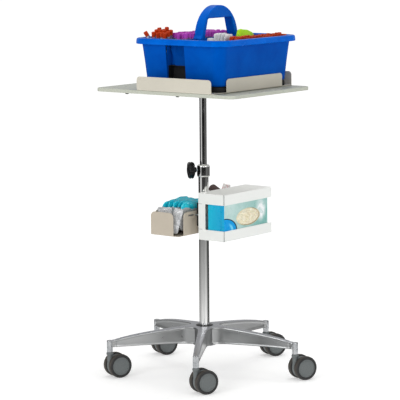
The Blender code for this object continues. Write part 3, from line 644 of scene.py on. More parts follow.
stations = [21, 27, 33, 38, 43, 48, 54, 60, 67, 75, 84, 95, 110, 125, 140, 155, 170, 185, 200, 215, 230, 245, 260, 272, 283, 284.5, 286.5, 288.5, 290.5, 292.5, 294, 299]
hub = lathe([(35.5, 151.7), (37.4, 150.9), (38.0, 149.2), (38.0, 92.4), (36.2, 90.6), (19.0, 90.6), (19.0, 147.6), (27.8, 147.6), (27.8, 151.0), (28.6, 151.7)], 96, True)
bodies = []
for angle in ARM_ANGLES:
    bodies.append(moved(loft([arm_section(r) for r in stations]), Matrix.Rotation(math.radians(angle), 4, "Z")))
    spin = math.radians(angle + 36.0)
    bodies.append(moved(lathe([(0.0, 148.6), (4.2, 148.6), (5.6, 147.2), (5.6, 94.2), (4.4, 93.0), (0.0, 93.0)], 32), Matrix.Translation((38.5 * math.cos(spin), 38.5 * math.sin(spin), 0.0))))
emit("base_casting", combine(hub, bodies), cast, "base", ("star_base",), sharp=34.0)
bosses = []
for angle in ARM_ANGLES:
    a = math.radians(angle)
    profile = [(0.0, 118.5), (7.4, 118.5), (8.7, 118.1), (9.35, 117.2), (9.5, 115.6), (9.5, 100.2), (9.1, 99.5), (9.1, 98.6), (9.5, 97.9), (9.5, 82.2), (8.8, 81.3), (6.0, 81.3), (6.0, 84.0), (0.0, 84.0)]
    bosses.append(moved(lathe(profile, 64), Matrix.Translation((STEM_AT * math.cos(a), STEM_AT * math.sin(a), 0.0))))
emit("stem_bosses", merged(bosses), boss_metal, "base", ())


def ribs(a, r):
    return r + (0.0 if r < 26.5 else 0.45 * math.copysign(1.0, math.sin(30 * a)) - 0.45)


emit(
    "hub_sleeve",
    lathe([(26.4, 152.9), (27.4, 152.3), (27.4, 148.2), (18.6, 148.2), (18.6, 93.4), (16.3, 93.4), (16.3, 153.6), (17.0, 154.3), (20.5, 154.3), (24.5, 153.5)], 240, True, ribs),
    black, "base", ("hub_insert",),
)
nut = merged([
    lathe([(0.0, 92.6), (14.6, 92.6), (14.6, 90.3), (21.4, 90.3), (22.0, 89.8), (22.0, 87.9), (21.4, 87.3), (0.0, 87.3)], 64),
    moved(lathe([(0.0, 87.2), (9.0, 87.2), (9.0, 80.6), (8.2, 79.8), (0.0, 79.8)], 6), Matrix.Rotation(0.3, 4, "Z")),
    lathe([(0.0, 80.0), (5.0, 80.0), (5.0, 79.0), (4.3, 78.5), (0.0, 78.5)], 32),
])
emit("base_nut_finish", nut, zinc, "base", ("base_nut",))

# ------------------------------------------------------------------ mast
R1, R2 = 15.875, 11.1
emit(
    "lower_tube_finish",
    lathe([(R1 - 0.5, 655.0), (R1, 654.5), (R1, 93.5), (R1 - 0.4, 93.0), (R1 - 1.6, 93.0), (R1 - 1.6, 655.0)], 128, True),
    chrome, "base", ("lower_tube",),
)
emit(
    "upper_tube_finish",
    lathe([(R2 - 0.3, 887.0), (R2, 886.7), (R2, 300.5), (R2 - 0.4, 300.0), (R2 - 1.5, 300.0), (R2 - 1.5, 887.0)], 128, True),
    chrome, "mast", ("upper_tube",),
)
emit(
    "glide_bush_finish",
    lathe([(14.8, 657.9), (15.2, 657.4), (15.2, 655.4), (13.9, 655.4), (13.9, 575.4), (11.5, 575.4), (11.5, 657.9)], 96, True),
    black, "base", ("glide_bush",),
)
collar = [(15.4, 662.5), (17.2, 661.9), (18.6, 660.6), (19.5, 658.6), (20.0, 656.0), (20.0, 629.4), (19.8, 627.6), (19.2, 625.8), (18.3, 624.7), (16.3, 624.6), (16.3, 658.6), (11.5, 658.6), (11.5, 662.5)]
emit("clamp_collar_finish", lathe(collar, 128, True), chrome, "base", ("clamp_collar",))
stub = lathe([(0.0, 22.4), (8.2, 22.4), (9.4, 21.6), (9.6, 20.2), (9.6, 17.0), (0.0, 17.0)], 64)
knob_place = Matrix.Translation(MAST + Vector((0.0, 0.0, 0.6465))) @ Matrix.Rotation(math.radians(230.0), 4, "Z") @ Matrix.Rotation(math.pi / 2, 4, "Y")


def lobes(a, r):
    return r if r < 10.5 else r - 3.4 * (r / 27.5) ** 2 * (1.0 - math.cos(5 * a)) / 2.0


knob = [
    (0.0, 23.0), (8.0, 23.0), (8.5, 23.6), (8.5, 28.0), (9.6, 29.4), (13.0, 30.0), (20.0, 30.2), (24.0, 30.8), (26.4, 32.4), (27.4, 35.0),
    (27.5, 36.4), (27.0, 37.2), (24.4, 37.6), (24.0, 38.6), (24.4, 39.6), (27.0, 40.0), (27.6, 40.8), (27.4, 43.0), (26.4, 46.0), (24.2, 48.2), (20.0, 49.2), (13.0, 49.5), (9.0, 49.1), (7.5, 48.2), (6.5, 47.6), (0.0, 47.4),
]
emit("clamp_knob_finish", lathe(knob, 144, False, lobes), black, "knob", ("clamp_knob",), 45.0, knob_place)
emit("knob_stud", lathe([(0.0, 23.6), (4.0, 23.6), (4.0, 14.8), (0.0, 14.8)], 32), zinc, "knob", (), 38.0, knob_place)

# ------------------------------------------------------------------ top
cad_copy("top_bracket", cast, "top", 1.2)
HX, HY = 267.5, 203.0
steps = [(6.0, 894.1), (1.2, 894.1), (0.35, 894.6), (0.0, 895.6), (0.0, 903.3), (0.35, 904.6), (1.2, 905.3), (2.4, 905.5), (8.0, 905.5), (8.6, 905.2), (9.3, 904.8), (10.5, 904.7)]
slab = loft([rounded(0, 0, HX - i, HY - i, 20.0 - 0.7 * i, z, 14) for i, z in steps])
recess = moved(lathe([(0.0, 907.0), (30.0, 907.0), (29.4, 904.1), (27.4, 904.1), (27.0, 904.45), (0.0, 904.45)], 72), Matrix.Translation((229.0, 131.0, 0.0)))
emit("tabletop_finish", combine(slab, [recess], "DIFFERENCE"), laminate, "top", ("tabletop",), 30.0)
bumps = []
for x, y in ((48.5, -188.0), (-150.0, -188.0), (48.5, 188.0), (-150.0, 188.0)):
    bumps.append(moved(lathe([(0.0, 894.0), (5.5, 894.0), (5.5, 891.6), (4.2, 890.2), (1.6, 889.8), (1.2, 890.6), (0.0, 890.6)], 32), Matrix.Translation((x, y, 0.0))))
emit("top_screws", merged(bumps), black, "top", ())


def upright(along_axis, face, span, foot, height, corner, sheet=2.0, bend=2.6, edge=0.45):
    """One flange of a folded sheet: a quarter bend at its foot and rounded upper corners.
    along_axis 0 or 1 is the way it runs, face (position, side) its outer face."""
    position, side = face
    mid = sheet / 2
    path = [(-mid - bend + bend * math.sin(a), foot + mid + bend - bend * math.cos(a)) for a in (math.radians(90.0 * i / 6) for i in range(7))]
    start = path[-1][1]
    rise = height - corner
    path += [(-mid, start + (rise - start) * i / 4) for i in range(1, 5)]
    path += [(-mid, rise + corner * math.sin(math.radians(90.0 * i / 10))) for i in range(1, 11)]
    bm = bmesh.new()
    rows = []
    across = [-1.0 + 2.0 * i / 12 for i in range(13)]
    for k, (off, z) in enumerate(path):
        shrink = corner - math.sqrt(max(0.0, corner ** 2 - max(0.0, z - rise) ** 2))
        half = (span[1] - span[0]) / 2 - shrink
        centre = (span[0] + span[1]) / 2
        row = []
        for u in across:
            s, n = centre + u * half, position + side * off
            row.append(bm.verts.new((s, n, z) if along_axis == 0 else (n, s, z)))
        rows.append(row)
    for one, two in zip(rows, rows[1:]):
        for i in range(len(across) - 1):
            bm.faces.new((one[i], one[i + 1], two[i + 1], two[i]))
    obj = scratch(bm)
    thick = obj.modifiers.new("sheet", "SOLIDIFY")
    thick.thickness, thick.offset, thick.use_even_offset = sheet, 0.0, True
    bake_modifiers(obj)
    soften(obj, edge, 2, 60.0)
    bake_modifiers(obj)
    out = bmesh.new()
    out.from_mesh(obj.data)
    bpy.data.objects.remove(obj)
    return out


low, high = node_mm("tray")
foot = low.z
tray_parts = [
    loft([rounded((low.x + high.x) / 2, (low.y + high.y) / 2, (high.x - low.x) / 2 - 3.4 + d, (high.y - low.y) / 2 - 3.4 + d, 8.0, z, 8) for d, z in ((-0.5, foot), (0.0, foot + 0.4), (0.0, foot + 1.6), (-0.5, foot + 2.0))]),
    upright(0, (low.y, -1), (-95.0, 191.0), foot, high.z, 11.0),
    upright(0, (high.y, 1), (-95.0, 191.0), foot, high.z, 11.0),
    upright(1, (low.x, -1), (-143.0, 142.0), foot, high.z, 11.0),
    upright(1, (high.x, 1), (-143.0, 142.0), foot, high.z, 11.0),
]
emit("tray_finish", merged(tray_parts), tray_coat, "top", ("tray",), 32.0)

low, high = node_mm("tray_pad")
CX, CY = (low.x + high.x) / 2, (low.y + high.y) / 2
hx, hy = (high.x - low.x) / 2, (high.y - low.y) / 2
levels = [(-4.0, low.z), (-1.4, low.z + 0.4), (-0.2, low.z + 2.2), (0.0, (low.z + high.z) / 2), (-0.4, high.z - 2.6), (-1.8, high.z - 0.7), (-4.5, high.z - 0.1)]
pad = emit("foam_pad", loft([rounded(CX, CY, hx + d, hy + d, 28.0 + d, z, 14) for d, z in levels]), foam, "top", ("tray_pad",), 60.0)

# ------------------------------------------------------------------ tote
low, high = node_mm("tote")
BASE_Z, RIM_Z = low.z, 1064.5
RX, RY = (high.x - low.x) / 2, (high.y - low.y) / 2


def ring(x, y, r, z):
    return rounded(CX, CY, x, y, r, z, 14)


skin = [ring(140.0, 169.0, 24.0, BASE_Z)]
for i in range(1, 7):
    a = math.radians(90.0 * i / 6)
    skin.append(ring(140.0 + 8.0 * math.sin(a), 169.0 + 8.0 * math.sin(a), 24.0 + 7.0 * math.sin(a), BASE_Z + 8.0 * (1 - math.cos(a))))
for x, y, r, z in (
    (149.6, 178.4, 31.4, 950.0), (153.0, 181.2, 32.0, 985.0), (156.6, 184.6, 32.6, 1020.0), (159.2, 186.8, 33.0, 1042.5), (160.0, 187.6, 34.0, 1045.2),
    (162.0, 189.6, 36.0, 1046.2), (175.8, 202.4, 48.4, 1046.2), (177.8, 204.4, 49.8, 1046.9), (178.5, 205.0, 50.0, 1048.6), (178.2, 204.7, 50.0, 1054.0),
    (177.6, 204.2, 49.6, 1059.2), (176.6, 203.2, 48.8, 1062.0), (174.6, 201.2, 47.0, 1063.9), (171.8, 198.4, 44.5, 1064.5),
    (163.0, 190.0, 36.5, 1064.5), (160.4, 187.5, 34.5, 1063.9), (158.4, 185.6, 32.8, 1062.2), (157.6, 184.8, 32.0, 1059.0),
    (156.2, 183.6, 31.6, 1046.0), (153.2, 181.0, 30.6, 1020.0), (149.6, 177.8, 30.0, 985.0), (146.2, 175.0, 29.0, 950.0), (144.6, 173.6, 28.0, 937.0),
    (143.4, 172.4, 27.0, 931.4), (140.6, 169.6, 24.5, 929.0), (137.0, 166.0, 21.0, 928.6),
):
    skin.append(ring(x, y, r, z))
slot = (-5.0, 67.0)
front = CY - 177.0
pocket = block((slot[0] - 3.0, slot[1] + 3.0), (front + 1.4, front + 33.0), (925.8, 1049.8))
wall = bmesh.new()
for x in (CX - 2.5, CX + 2.5):
    for y, z in ((CY - 174.0, 927.0), (CY + 174.0, 927.0), (CY + 186.0, 1062.0), (CY - 186.0, 1062.0)):
        wall.verts.new((x, y, z))
wall.verts.ensure_lookup_table()
for face in ((0, 1, 2, 3), (7, 6, 5, 4), (0, 4, 5, 1), (1, 5, 6, 2), (2, 6, 7, 3), (3, 7, 4, 0)):
    wall.faces.new([wall.verts[i] for i in face])
shell = combine(loft(skin), [pocket, wall])
scoop = bmesh.new()
bmesh.ops.create_uvsphere(scoop, u_segments=48, v_segments=28, radius=1.0)
for v in scoop.verts:
    v.co = Vector((40.0 + 20.0 * v.co.x, front + 4.0 + 10.5 * v.co.y, 1034.0 + 27.0 * v.co.z))
cut_low = block((slot[0], slot[1]), (front - 40.0, front + 30.0), (910.0, 984.0), 2.4)
cut_high = block((slot[0], slot[1]), (front - 40.0, front + 26.0), (974.0, 1046.0), 2.4)
shell = combine(shell, [cut_low, cut_high], "DIFFERENCE")
# the moulded panel across the upper part of the slot, its near edge drawn in, with a thumb scoop
panel_loop = [(3.0, 1045.4), (1.5, 1036.0), (4.0, 1026.0), (10.5, 1012.0), (14.0, 1000.0), (15.0, 990.0)]
panel_loop += [(15.0 + 8.0 - 8.0 * math.cos(a), 990.0 - 8.0 * math.sin(a)) for a in (math.radians(15.0 * i) for i in range(1, 7))]
panel_loop += [(slot[1] - 0.25, 982.0), (slot[1] - 0.25, 1045.4)]
panel = loft([[Vector((x, y, z)) for x, z in panel_loop] for y in (front + 9.0, front + 25.8)])
panel = combine(panel, [], "UNION", 1.6, 3, 50.0)
scoop = combine(panel, [moved(scoop, Matrix.Translation((0.0, 0.0, 0.0)))], "DIFFERENCE")
body = emit("tote_shell", shell, blue, "tote", ("tote",), 30.0, extra=(rim_blue,))
for poly in body.data.polygons:
    if poly.center.z * 1000.0 > 1046.1 and (poly.normal.z > 0.05 or abs((poly.center.x * 1000.0 - CX)) > 165.0 or abs(poly.center.y * 1000.0 - CY) > 192.0):
        poly.material_index = 1
# The slot panel takes the darker painted-shade copy of the blue.
emit("tote_scoop", scoop, shaded_blue, "tote", (), 40.0)
# Painted shade: thin black foam sheets line the lower slot, where there is only shade inside.
painted_shade_panels = merged([
    block((slot[0] + 0.2, slot[1] - 0.2), (front + 28.4, front + 29.8), (926.5, 983.4), 0.3, 2),
    block((slot[0] + 0.1, slot[0] + 1.0), (front + 5.0, front + 28.2), (926.5, 983.4), 0.3, 2),
    block((slot[0] + 1.2, slot[1] - 0.2), (front + 9.0, front + 28.2), (982.0, 983.6), 0.3, 2),
])
emit("slot_painted_shade", painted_shade_panels, foam, "tote", ())

arch = bmesh.new()
outline = []
FLARE = [(98.5, 1059.0), (98.0, 1062.0), (95.6, 1064.6), (93.2, 1068.0)]
for i in range(65):
    a = math.radians(8.5 + 163.0 * i / 64)
    outline.append((91.6 * math.cos(a), 1055.5 + 105.0 * math.sin(a)))
outline = FLARE + outline + [(-y, z) for y, z in reversed(FLARE)]
outline += [(-92.0, 1052.0), (-90.0, 1040.0), (-84.0, 1031.0), (84.0, 1031.0), (90.0, 1040.0), (92.0, 1052.0)]
faces = [[arch.verts.new((CX + side * 16.0, CY + y, z)) for y, z in outline] for side in (-1, 1)]
arch.faces.new(faces[0])
arch.faces.new(faces[1])
for i in range(len(outline)):
    j = (i + 1) % len(outline)
    arch.faces.new((faces[0][i], faces[0][j], faces[1][j], faces[1][i]))
hole_loop = []
for cx, cz, a0 in ((53.0, 1112.5, 0.0), (-53.0, 1112.5, 90.0), (-66.0, 1068.0, 180.0), (66.0, 1068.0, 270.0)):
    for i in range(9):
        a = math.radians(a0 + 90.0 * i / 8)
        hole_loop.append((cx + 9.0 * math.cos(a), cz + 9.0 * math.sin(a)))
hole = loft([[Vector((CX + x, CY + y, z)) for y, z in hole_loop] for x in (-30.0, 30.0)])
emit("tote_handle", combine(arch, [hole], "DIFFERENCE", 6.5, 5, 40.0), rim_blue, "tote", (), 30.0)

# ------------------------------------------------------------------ capped tubes
rng = random.Random(7)


def cap_template():
    rings = [(5.8, 0.0, 0), (6.4, 0.6, 1), (6.6, 14.6, 1), (6.3, 16.2, 1), (5.5, 17.0, 0), (3.9, 17.0, 0), (3.5, 14.4, 0)]
    bm = bmesh.new()
    rows = []
    for r, z, ribbed in rings:
        row = []
        for i in range(32):
            a = TAU * i / 32
            reach = r - (0.75 if ribbed and i % 2 else 0.0)
            row.append(bm.verts.new((reach * math.cos(a), reach * math.sin(a), z)))
        rows.append(row)
    for one, two in zip(rows, rows[1:]):
        for i in range(32):
            bm.faces.new((one[i], one[(i + 1) % 32], two[(i + 1) % 32], two[i]))
    bm.faces.new(rows[0])
    bm.faces.new(rows[-1])
    mesh = bpy.data.meshes.new("cap_template")
    bm.to_mesh(mesh)
    bm.free()
    return mesh


def glass_template(length):
    bm = lathe([(6.3, 2.0), (6.3, -length + 6.0), (5.0, -length + 2.0), (2.6, -length + 0.4), (0.0, -length), (0.0, 2.0)], 20)
    mesh = bpy.data.meshes.new("glass_template")
    bm.to_mesh(mesh)
    bm.free()
    return mesh


caps, stems = cap_template(), glass_template(90.0)


def bundle(name, node, cap_finish, spots, body="tote", first=True):
    """spots: (x, y, top height, tilt about X, tilt about Y) of every tube."""
    tops, bottoms = bmesh.new(), bmesh.new()
    for x, y, top, ax, ay in spots:
        turn = Matrix.Rotation(ay, 4, "Y") @ Matrix.Rotation(ax, 4, "X") @ Matrix.Rotation(rng.uniform(0, TAU), 4, "Z")
        where = Matrix.Translation((x, y, top)) @ turn @ Matrix.Translation((0, 0, -17.0))
        for target, template in ((tops, caps), (bottoms, stems)):
            count = len(target.verts)
            target.from_mesh(template)
            target.verts.ensure_lookup_table()
            bmesh.ops.transform(target, matrix=where, verts=target.verts[count:])
    emit(name + "_caps", tops, cap_finish, body, (node,) if first else (), 35.0, weld=False)
    emit(name + "_tubes", bottoms, glass, body, (), 35.0, weld=False)


spots = []
for i in range(5):
    for j in range(15):
        x, y = -32.0 + 14.4 * i, -115.0 + 14.3 * j + (7.0 if i % 2 else 0.0)
        spots.append((x + rng.uniform(-0.5, 0.5), y + rng.uniform(-0.5, 0.5), 1078.5 + rng.uniform(-2.2, 1.2), rng.uniform(-0.03, 0.03), rng.uniform(-0.03, 0.03)))
bundle("tubes_purple", "tubes_purple", purple, spots)
spots = []
for i in range(2):
    for j in range(18):
        x, y = 176.0 + 14.2 * i, -84.0 + 14.6 * j + (7.0 if i % 2 else 0.0)
        spots.append((x + rng.uniform(-0.4, 0.4), y + rng.uniform(-0.4, 0.4), 1070.8 + rng.uniform(-3.0, 1.6) - 1.5 * i, rng.uniform(-0.04, 0.04), 0.07 + rng.uniform(-0.03, 0.03)))
bundle("tubes_red_side", "tubes_red_side", orange, spots)
spots = []
for i in range(4):
    for j in range(3):
        x, y = -71.0 + 15.0 * i, -152.5 + 14.4 * j
        spots.append((x + rng.uniform(-1.2, 1.2), y + rng.uniform(-1.0, 1.0), (1085.5, 1092.0, 1094.5)[j] - (i % 2) * 5.0 + rng.uniform(-4.0, 1.5), 0.16 + rng.uniform(-0.12, 0.14), rng.uniform(-0.20, 0.20)))
bundle("tubes_red_front", "tubes_red_front", orange, spots)
bundle("tube_leaning", "tubes_red_front", orange, [(-107.0, -150.0, 1081.5, 0.34, -0.44)], first=False)


# ------------------------------------------------------------------ soft packs
def pillow(width, height, thick, nu=22, nv=26, pinch=0.08):
    """A flat pouch lying in XZ, sealed round its edge, as a closed form."""
    bm = bmesh.new()
    front_rows, back_rows = [], []
    for j in range(nv + 1):
        v = -1.0 + 2.0 * j / nv
        one, two = [], []
        for i in range(nu + 1):
            u = -1.0 + 2.0 * i / nu
            puff = (max(0.0, (1 - u * u) * (1 - v * v))) ** 0.42
            x = u * width / 2 * (1 - pinch * (1 - v * v) * abs(u))
            z = v * height / 2 * (1 - pinch * (1 - u * u) * abs(v) * 0.5)
            y = thick / 2 * puff
            corner = 1 - 0.18 * abs(u) ** 4 * abs(v) ** 4
            x, z = x * corner, z * corner
            one.append(bm.verts.new((x, -y, z)))
            two.append(one[-1] if i in (0, nu) or j in (0, nv) else bm.verts.new((x, y, z)))
        front_rows.append(one)
        back_rows.append(two)
    for rows, flip in ((front_rows, False), (back_rows, True)):
        for j in range(nv):
            for i in range(nu):
                quad = (rows[j][i], rows[j][i + 1], rows[j + 1][i + 1], rows[j + 1][i])
                bm.faces.new(tuple(reversed(quad)) if flip else quad)
    return bm


def simulate(obj, pressure, frames=16, cap=0.012):
    """Blows a sealed pouch up with Blender's cloth, keeps each point within cap metres of
    where it started, and applies the result."""
    start = [v.co.copy() for v in obj.data.vertices]
    step = obj.modifiers.new("film", "CLOTH")
    cloth = step.settings
    cloth.quality = 6
    cloth.mass = 0.15
    cloth.tension_stiffness = cloth.compression_stiffness = 40.0
    cloth.shear_stiffness = 12.0
    cloth.bending_stiffness = 0.05
    cloth.use_pressure = True
    cloth.uniform_pressure_force = pressure
    cloth.effector_weights.gravity = 0.0
    step.collision_settings.use_collision = False
    step.point_cache.frame_start, step.point_cache.frame_end = 1, frames
    scene = bpy.context.scene
    for number in range(1, frames + 1):
        scene.frame_set(number)
    bake_modifiers(obj)
    for v, was in zip(obj.data.vertices, start):
        moved_by = v.co - was
        if moved_by.length > cap:
            v.co = was + moved_by * (cap / moved_by.length)
    scene.frame_set(1)
    return obj


def ruffle(obj, amount, scale, seed):
    """Fine creases: each point moves along its normal by a noise of the given size."""
    mesh = obj.data
    normals = [v.normal.copy() for v in mesh.vertices]
    for v, n in zip(mesh.vertices, normals):
        p = v.co * scale + Vector((seed, seed * 0.7, seed * 1.3))
        v.co += n * amount * (noise.noise(p) + 0.5 * noise.noise(p * 2.3))
    return obj


def smooth_mesh(obj, levels=1):
    step = obj.modifiers.new("fine", "SUBSURF")
    step.levels = step.render_levels = levels
    return bake_modifiers(obj)


def pack(name, finish, body, size, centre, turn, replaces=(), pressure=3.0, crease=0.0012, split=None, cap=0.008, pinch=0.08):
    """One soft pouch: simulated flat, creased, then stood in place."""
    bm = pillow(*size, pinch=pinch)
    bmesh.ops.scale(bm, verts=bm.verts, vec=(0.001, 0.001, 0.001))
    obj = scratch(bm, name)
    simulate(obj, pressure, cap=cap)
    smooth_mesh(obj)
    ruffle(obj, crease, 42.0, len(made_pieces) * 3.1)
    if split is not None:
        tone = obj.data.attributes.new("tint", "FLOAT", "POINT")
        height = size[1] * 0.001
        for i, v in enumerate(obj.data.vertices):
            edge = split + 0.05 * noise.noise(v.co * 60.0 + Vector((len(made_pieces), 0, 0)))
            tone.data[i].value = min(1.0, max(0.0, (v.co.z / height + 0.5 - edge) * 12.0 + 0.5))
    matrix = Matrix.Translation(MAST + Vector(centre) * 0.001) @ turn
    obj.data.transform(matrix)
    mesh = obj.data
    bpy.data.objects.remove(obj)
    piece = settle(name, mesh, finish, body, replaces, 70.0, Matrix.Identity(4))
    return piece


def turned_by(x=0.0, y=0.0, z=0.0):
    return Matrix.Rotation(math.radians(z), 4, "Z") @ Matrix.Rotation(math.radians(y), 4, "Y") @ Matrix.Rotation(math.radians(x), 4, "X")


pack("lime_pack", lime, "tote", (74.0, 50.0, 20.0), (104.0, 84.0, 1056.5), turned_by(-10, 11, 84), pressure=4.0, crease=0.0018, pinch=-0.16)
for i, (x, y, z, tilt) in enumerate(((113.0, -63.0, 1052.5, -7), (123.0, -61.0, 1053.5, 3), (133.5, -62.0, 1052.0, 6), (143.5, -60.0, 1051.0, 9))):
    pack(f"gauze_pack_{i + 1}", paper, "tote", (46.0, 56.0, 11.0), (x, y, z), turned_by(tilt, 2 * i - 3, 84 + 3 * i), pressure=3.0, crease=0.0011)
pack("small_pack", paper, "tote", (24.0, 40.0, 8.0), (99.0, -87.0, 1047.0), turned_by(8, 0, 30), pressure=3.0)

# ------------------------------------------------------------------ glove holder and carton
seamed = moulded("holder_powder_coat", lin(247, 248, 246), 0.36, 480.0, 0.00014, 0.015)
low, high = (v * 0.001 for v in node_mm("glove_holder"))
across, rise = seamed.axis(0), seamed.axis(2)
facing_y = seamed.range(seamed.math("ABSOLUTE", seamed.axis(1, seamed.new("ShaderNodeNewGeometry").outputs["Normal"])), 0.6, 0.7, 0.0, 1.0)
# Painted shadow: thin dark lines on the faces that face along Y, at the +X corner and along two folds near the back,
# where the gaps between flanges lie in shade. The coat is also painted lighter on up-facing faces and darker on faces
# that face along Y, which is painted light by facing.
corner_gap_shadow = seamed.range(across, high.x - 0.0030, high.x - 0.0027, 0.0, 0.92, True)
fold_gap_shadow = seamed.math("MULTIPLY", seamed.range(across, low.x + 0.015, low.x + 0.0155, 0.55, 0.0, True), seamed.math("ADD", seamed.range(seamed.math("ABSOLUTE", seamed.math("SUBTRACT", rise, 0.4665)), 0.0006, 0.0009, 1.0, 0.0, True), seamed.range(seamed.math("ABSOLUTE", seamed.math("SUBTRACT", rise, 0.5460)), 0.0006, 0.0009, 1.0, 0.0, True)))
gap_shadow = seamed.math("MULTIPLY", facing_y, seamed.math("MAXIMUM", corner_gap_shadow, fold_gap_shadow))
coat_painted_light = seamed.mix(seamed.range(seamed.facing_up(), 0.6, 0.8, 0.0, 1.0, True), lin(238, 240, 237), lin(253, 253, 251))
coat_painted_light = seamed.mix(facing_y, coat_painted_light, lin(224, 226, 223))
seamed.colour(seamed.mix(gap_shadow, coat_painted_light, lin(44, 52, 56)))
cad_copy("glove_holder", seamed, "base", 0.75, 3, 40.0, 35.0)
low, high = node_mm("glove_box")
case = block((low.x, high.x), (low.y, high.y), (low.z, high.z), 0.9, 3)
OVAL_Y, OVAL_Z, OVAL_A, OVAL_B = low.y + 124.0, 499.0, 62.0, 27.5
oval = lathe([(1.0, 8.0), (1.0, -7.0)], 72)
for v in oval.verts:
    v.co = Vector((high.x + v.co.z, OVAL_Y + OVAL_A * v.co.x, OVAL_Z + OVAL_B * v.co.y))
emit("carton_case", combine(case, [oval], "DIFFERENCE"), carton, "glove_box", ("glove_box",), 30.0)
gloves = bmesh.new()
rows, around, out_to = [], 120, 30
for j in range(out_to + 1):
    r = j / out_to
    row = []
    for i in range(around):
        a = TAU * i / around
        y, z = r * math.cos(a), r * math.sin(a)
        p = Vector((y * 2.2, z * 1.5, 0.0))
        folds = abs(noise.noise(p * 1.6 + Vector((3.1, 0.2, 1.7)))) * 5.5 + noise.noise(p * 4.3) * 1.8 + 0.7 * noise.noise(p * 9.0)
        pleat = 1.4 * math.sin(7 * a + 5.0 * noise.noise(p * 1.3)) * r * (1 - r) * 4.0
        lift = -4.8 + 6.8 * (1 - r ** 2.4) ** 0.7 + (folds + pleat - 1.2) * (1 - r ** 5)
        row.append(gloves.verts.new((high.x + min(3.2, lift), OVAL_Y + OVAL_A * 0.985 * y, OVAL_Z + OVAL_B * 0.97 * z)))
        if j == 0:
            break
    rows.append(row)
base_row = [gloves.verts.new((high.x - 6.4, v.co.y, v.co.z)) for v in rows[-1]]
for i in range(around):
    k = (i + 1) % around
    gloves.faces.new((rows[0][0], rows[1][i], rows[1][k]))
    for one, two in zip(rows[1:], rows[2:] + [base_row]):
        gloves.faces.new((one[i], two[i], two[k], one[k]))
gloves.faces.new(base_row)
emit("glove_stack", gloves, latex, "glove_box", (), 80.0)

# ------------------------------------------------------------------ accessory bin
low, high = node_mm("accessory_bin")
foot = low.z
bin_parts = [
    loft([rounded((low.x + high.x) / 2, (low.y + high.y) / 2, (high.x - low.x) / 2 - 3.4 + d, (high.y - low.y) / 2 - 3.4 + d, 8.0, z, 8) for d, z in ((-0.5, foot), (0.0, foot + 0.4), (0.0, foot + 1.6), (-0.5, foot + 2.0))]),
    upright(0, (low.y, -1), (low.x + 5.0, high.x - 21.0), foot, high.z, 15.0),
    upright(0, (high.y, 1), (low.x + 5.0, high.x - 21.0), foot, high.z, 15.0),
    upright(1, (low.x, -1), (low.y + 27.0, high.y - 27.0), foot, high.z, 13.0),
]
slotted = upright(1, (high.x, 1), (low.y + 27.0, high.y - 27.0), foot, high.z, 13.0)
cuts = [block((high.x - 6.0, high.x + 4.0), (y, y + 28.0), (503.2, 507.8), 0.0) for y in (-56.0, 28.0, 66.0, 104.0)]
cuts += [moved(lathe([(0.0, 8.0), (2.8, 8.0), (2.8, -8.0), (0.0, -8.0)], 32), Matrix.Translation((high.x, y, 505.0)) @ Matrix.Rotation(math.pi / 2, 4, "Y")) for y in (-20.0, 20.0)]
bin_parts.append(combine(slotted, cuts, "DIFFERENCE"))
emit("accessory_bin_finish", merged(bin_parts), bin_coat, "base", ("accessory_bin",), 32.0)

for i, (x, y, z, lean, roll, heading, size) in enumerate((
    (-38.0, 3.0, 498.0, 3, 4, 91, (158.0, 101.0, 15.0)),
    (-54.0, 12.0, 499.5, 2, 2, 88, (154.0, 102.0, 15.0)),
    (-70.0, 2.0, 498.0, 0, 5, 92, (158.0, 101.0, 15.0)),
    (-86.0, 4.0, 499.0, -3, 3, 89, (154.0, 101.0, 15.0)),
    (-102.0, -6.0, 498.5, -5, -4, 91, (150.0, 102.0, 14.0)),
)):
    pack(
        f"pouch_{i + 1}", pouch, "base", size, (x, y, z), turned_by(lean, roll, heading),
        ("bin_bags",) if i == 0 else (), pressure=4.5, crease=0.0020, split=0.745, pinch=-0.02,
    )
pack("pouch_low", pouch, "base", (64.0, 80.0, 15.0), (-88.0, -79.0, 495.0), turned_by(7, -3, 6), pressure=4.0, crease=0.0018, split=1.4, pinch=0.16)
pack("pouch_edge", pouch, "base", (34.0, 86.0, 13.0), (-44.0, -84.0, 491.0), turned_by(-8, 12, 14), pressure=3.5, crease=0.0014, split=1.4)
rolls = []
for x, y, z, r, long in ((-93.0, 152.0, 472.0, 22.5, 64.0), (-56.0, 152.0, 467.5, 18.0, 64.0), (-76.0, 152.0, 510.0, 20.0, 60.0), (-64.0, 150.0, 556.0, 14.0, 56.0)):
    ends = []
    for k in range(9):
        ends.append((r * k / 9 + 0.35, long / 2 - (0.0 if k % 2 else 0.9)))
        ends.append((r * (k + 1) / 9 - 0.35, long / 2 - (0.0 if k % 2 else 0.9)))
    ends = [(0.0, long / 2 - 0.9)] + ends[:-1] + [(r - 0.9, long / 2 - 0.4), (r - 0.2, long / 2 - 1.4), (r, long / 2 - 3.0)]
    if z > 540.0:
        ends = [(r * math.sin(math.radians(10.0 * k)), long / 2 - 11.0 * (1 - math.cos(math.radians(10.0 * k)))) for k in range(10)]
    profile = ends + [(rr, -zz) for rr, zz in reversed(ends)]
    heading = Matrix.Rotation(math.radians(118.0), 4, "Y") @ Matrix.Rotation(-math.pi / 2, 4, "X") if z > 540.0 else Matrix.Identity(4)
    rolls.append(moved(lathe(profile, 48, False, lambda a, q: q + 0.25 * math.sin(3 * a) * q / 20.0), Matrix.Translation((x, y, z)) @ heading @ Matrix.Rotation(math.pi / 2, 4, "X")))
emit("bandage_rolls", merged(rolls), bandage, "base", ("bin_roll",), 50.0)
pack("pink_pack", pink, "base", (30.0, 66.0, 12.0), (-38.0, 160.0, 552.0), turned_by(-6, 14, 30), pressure=4.0, crease=0.0026, pinch=0.2)
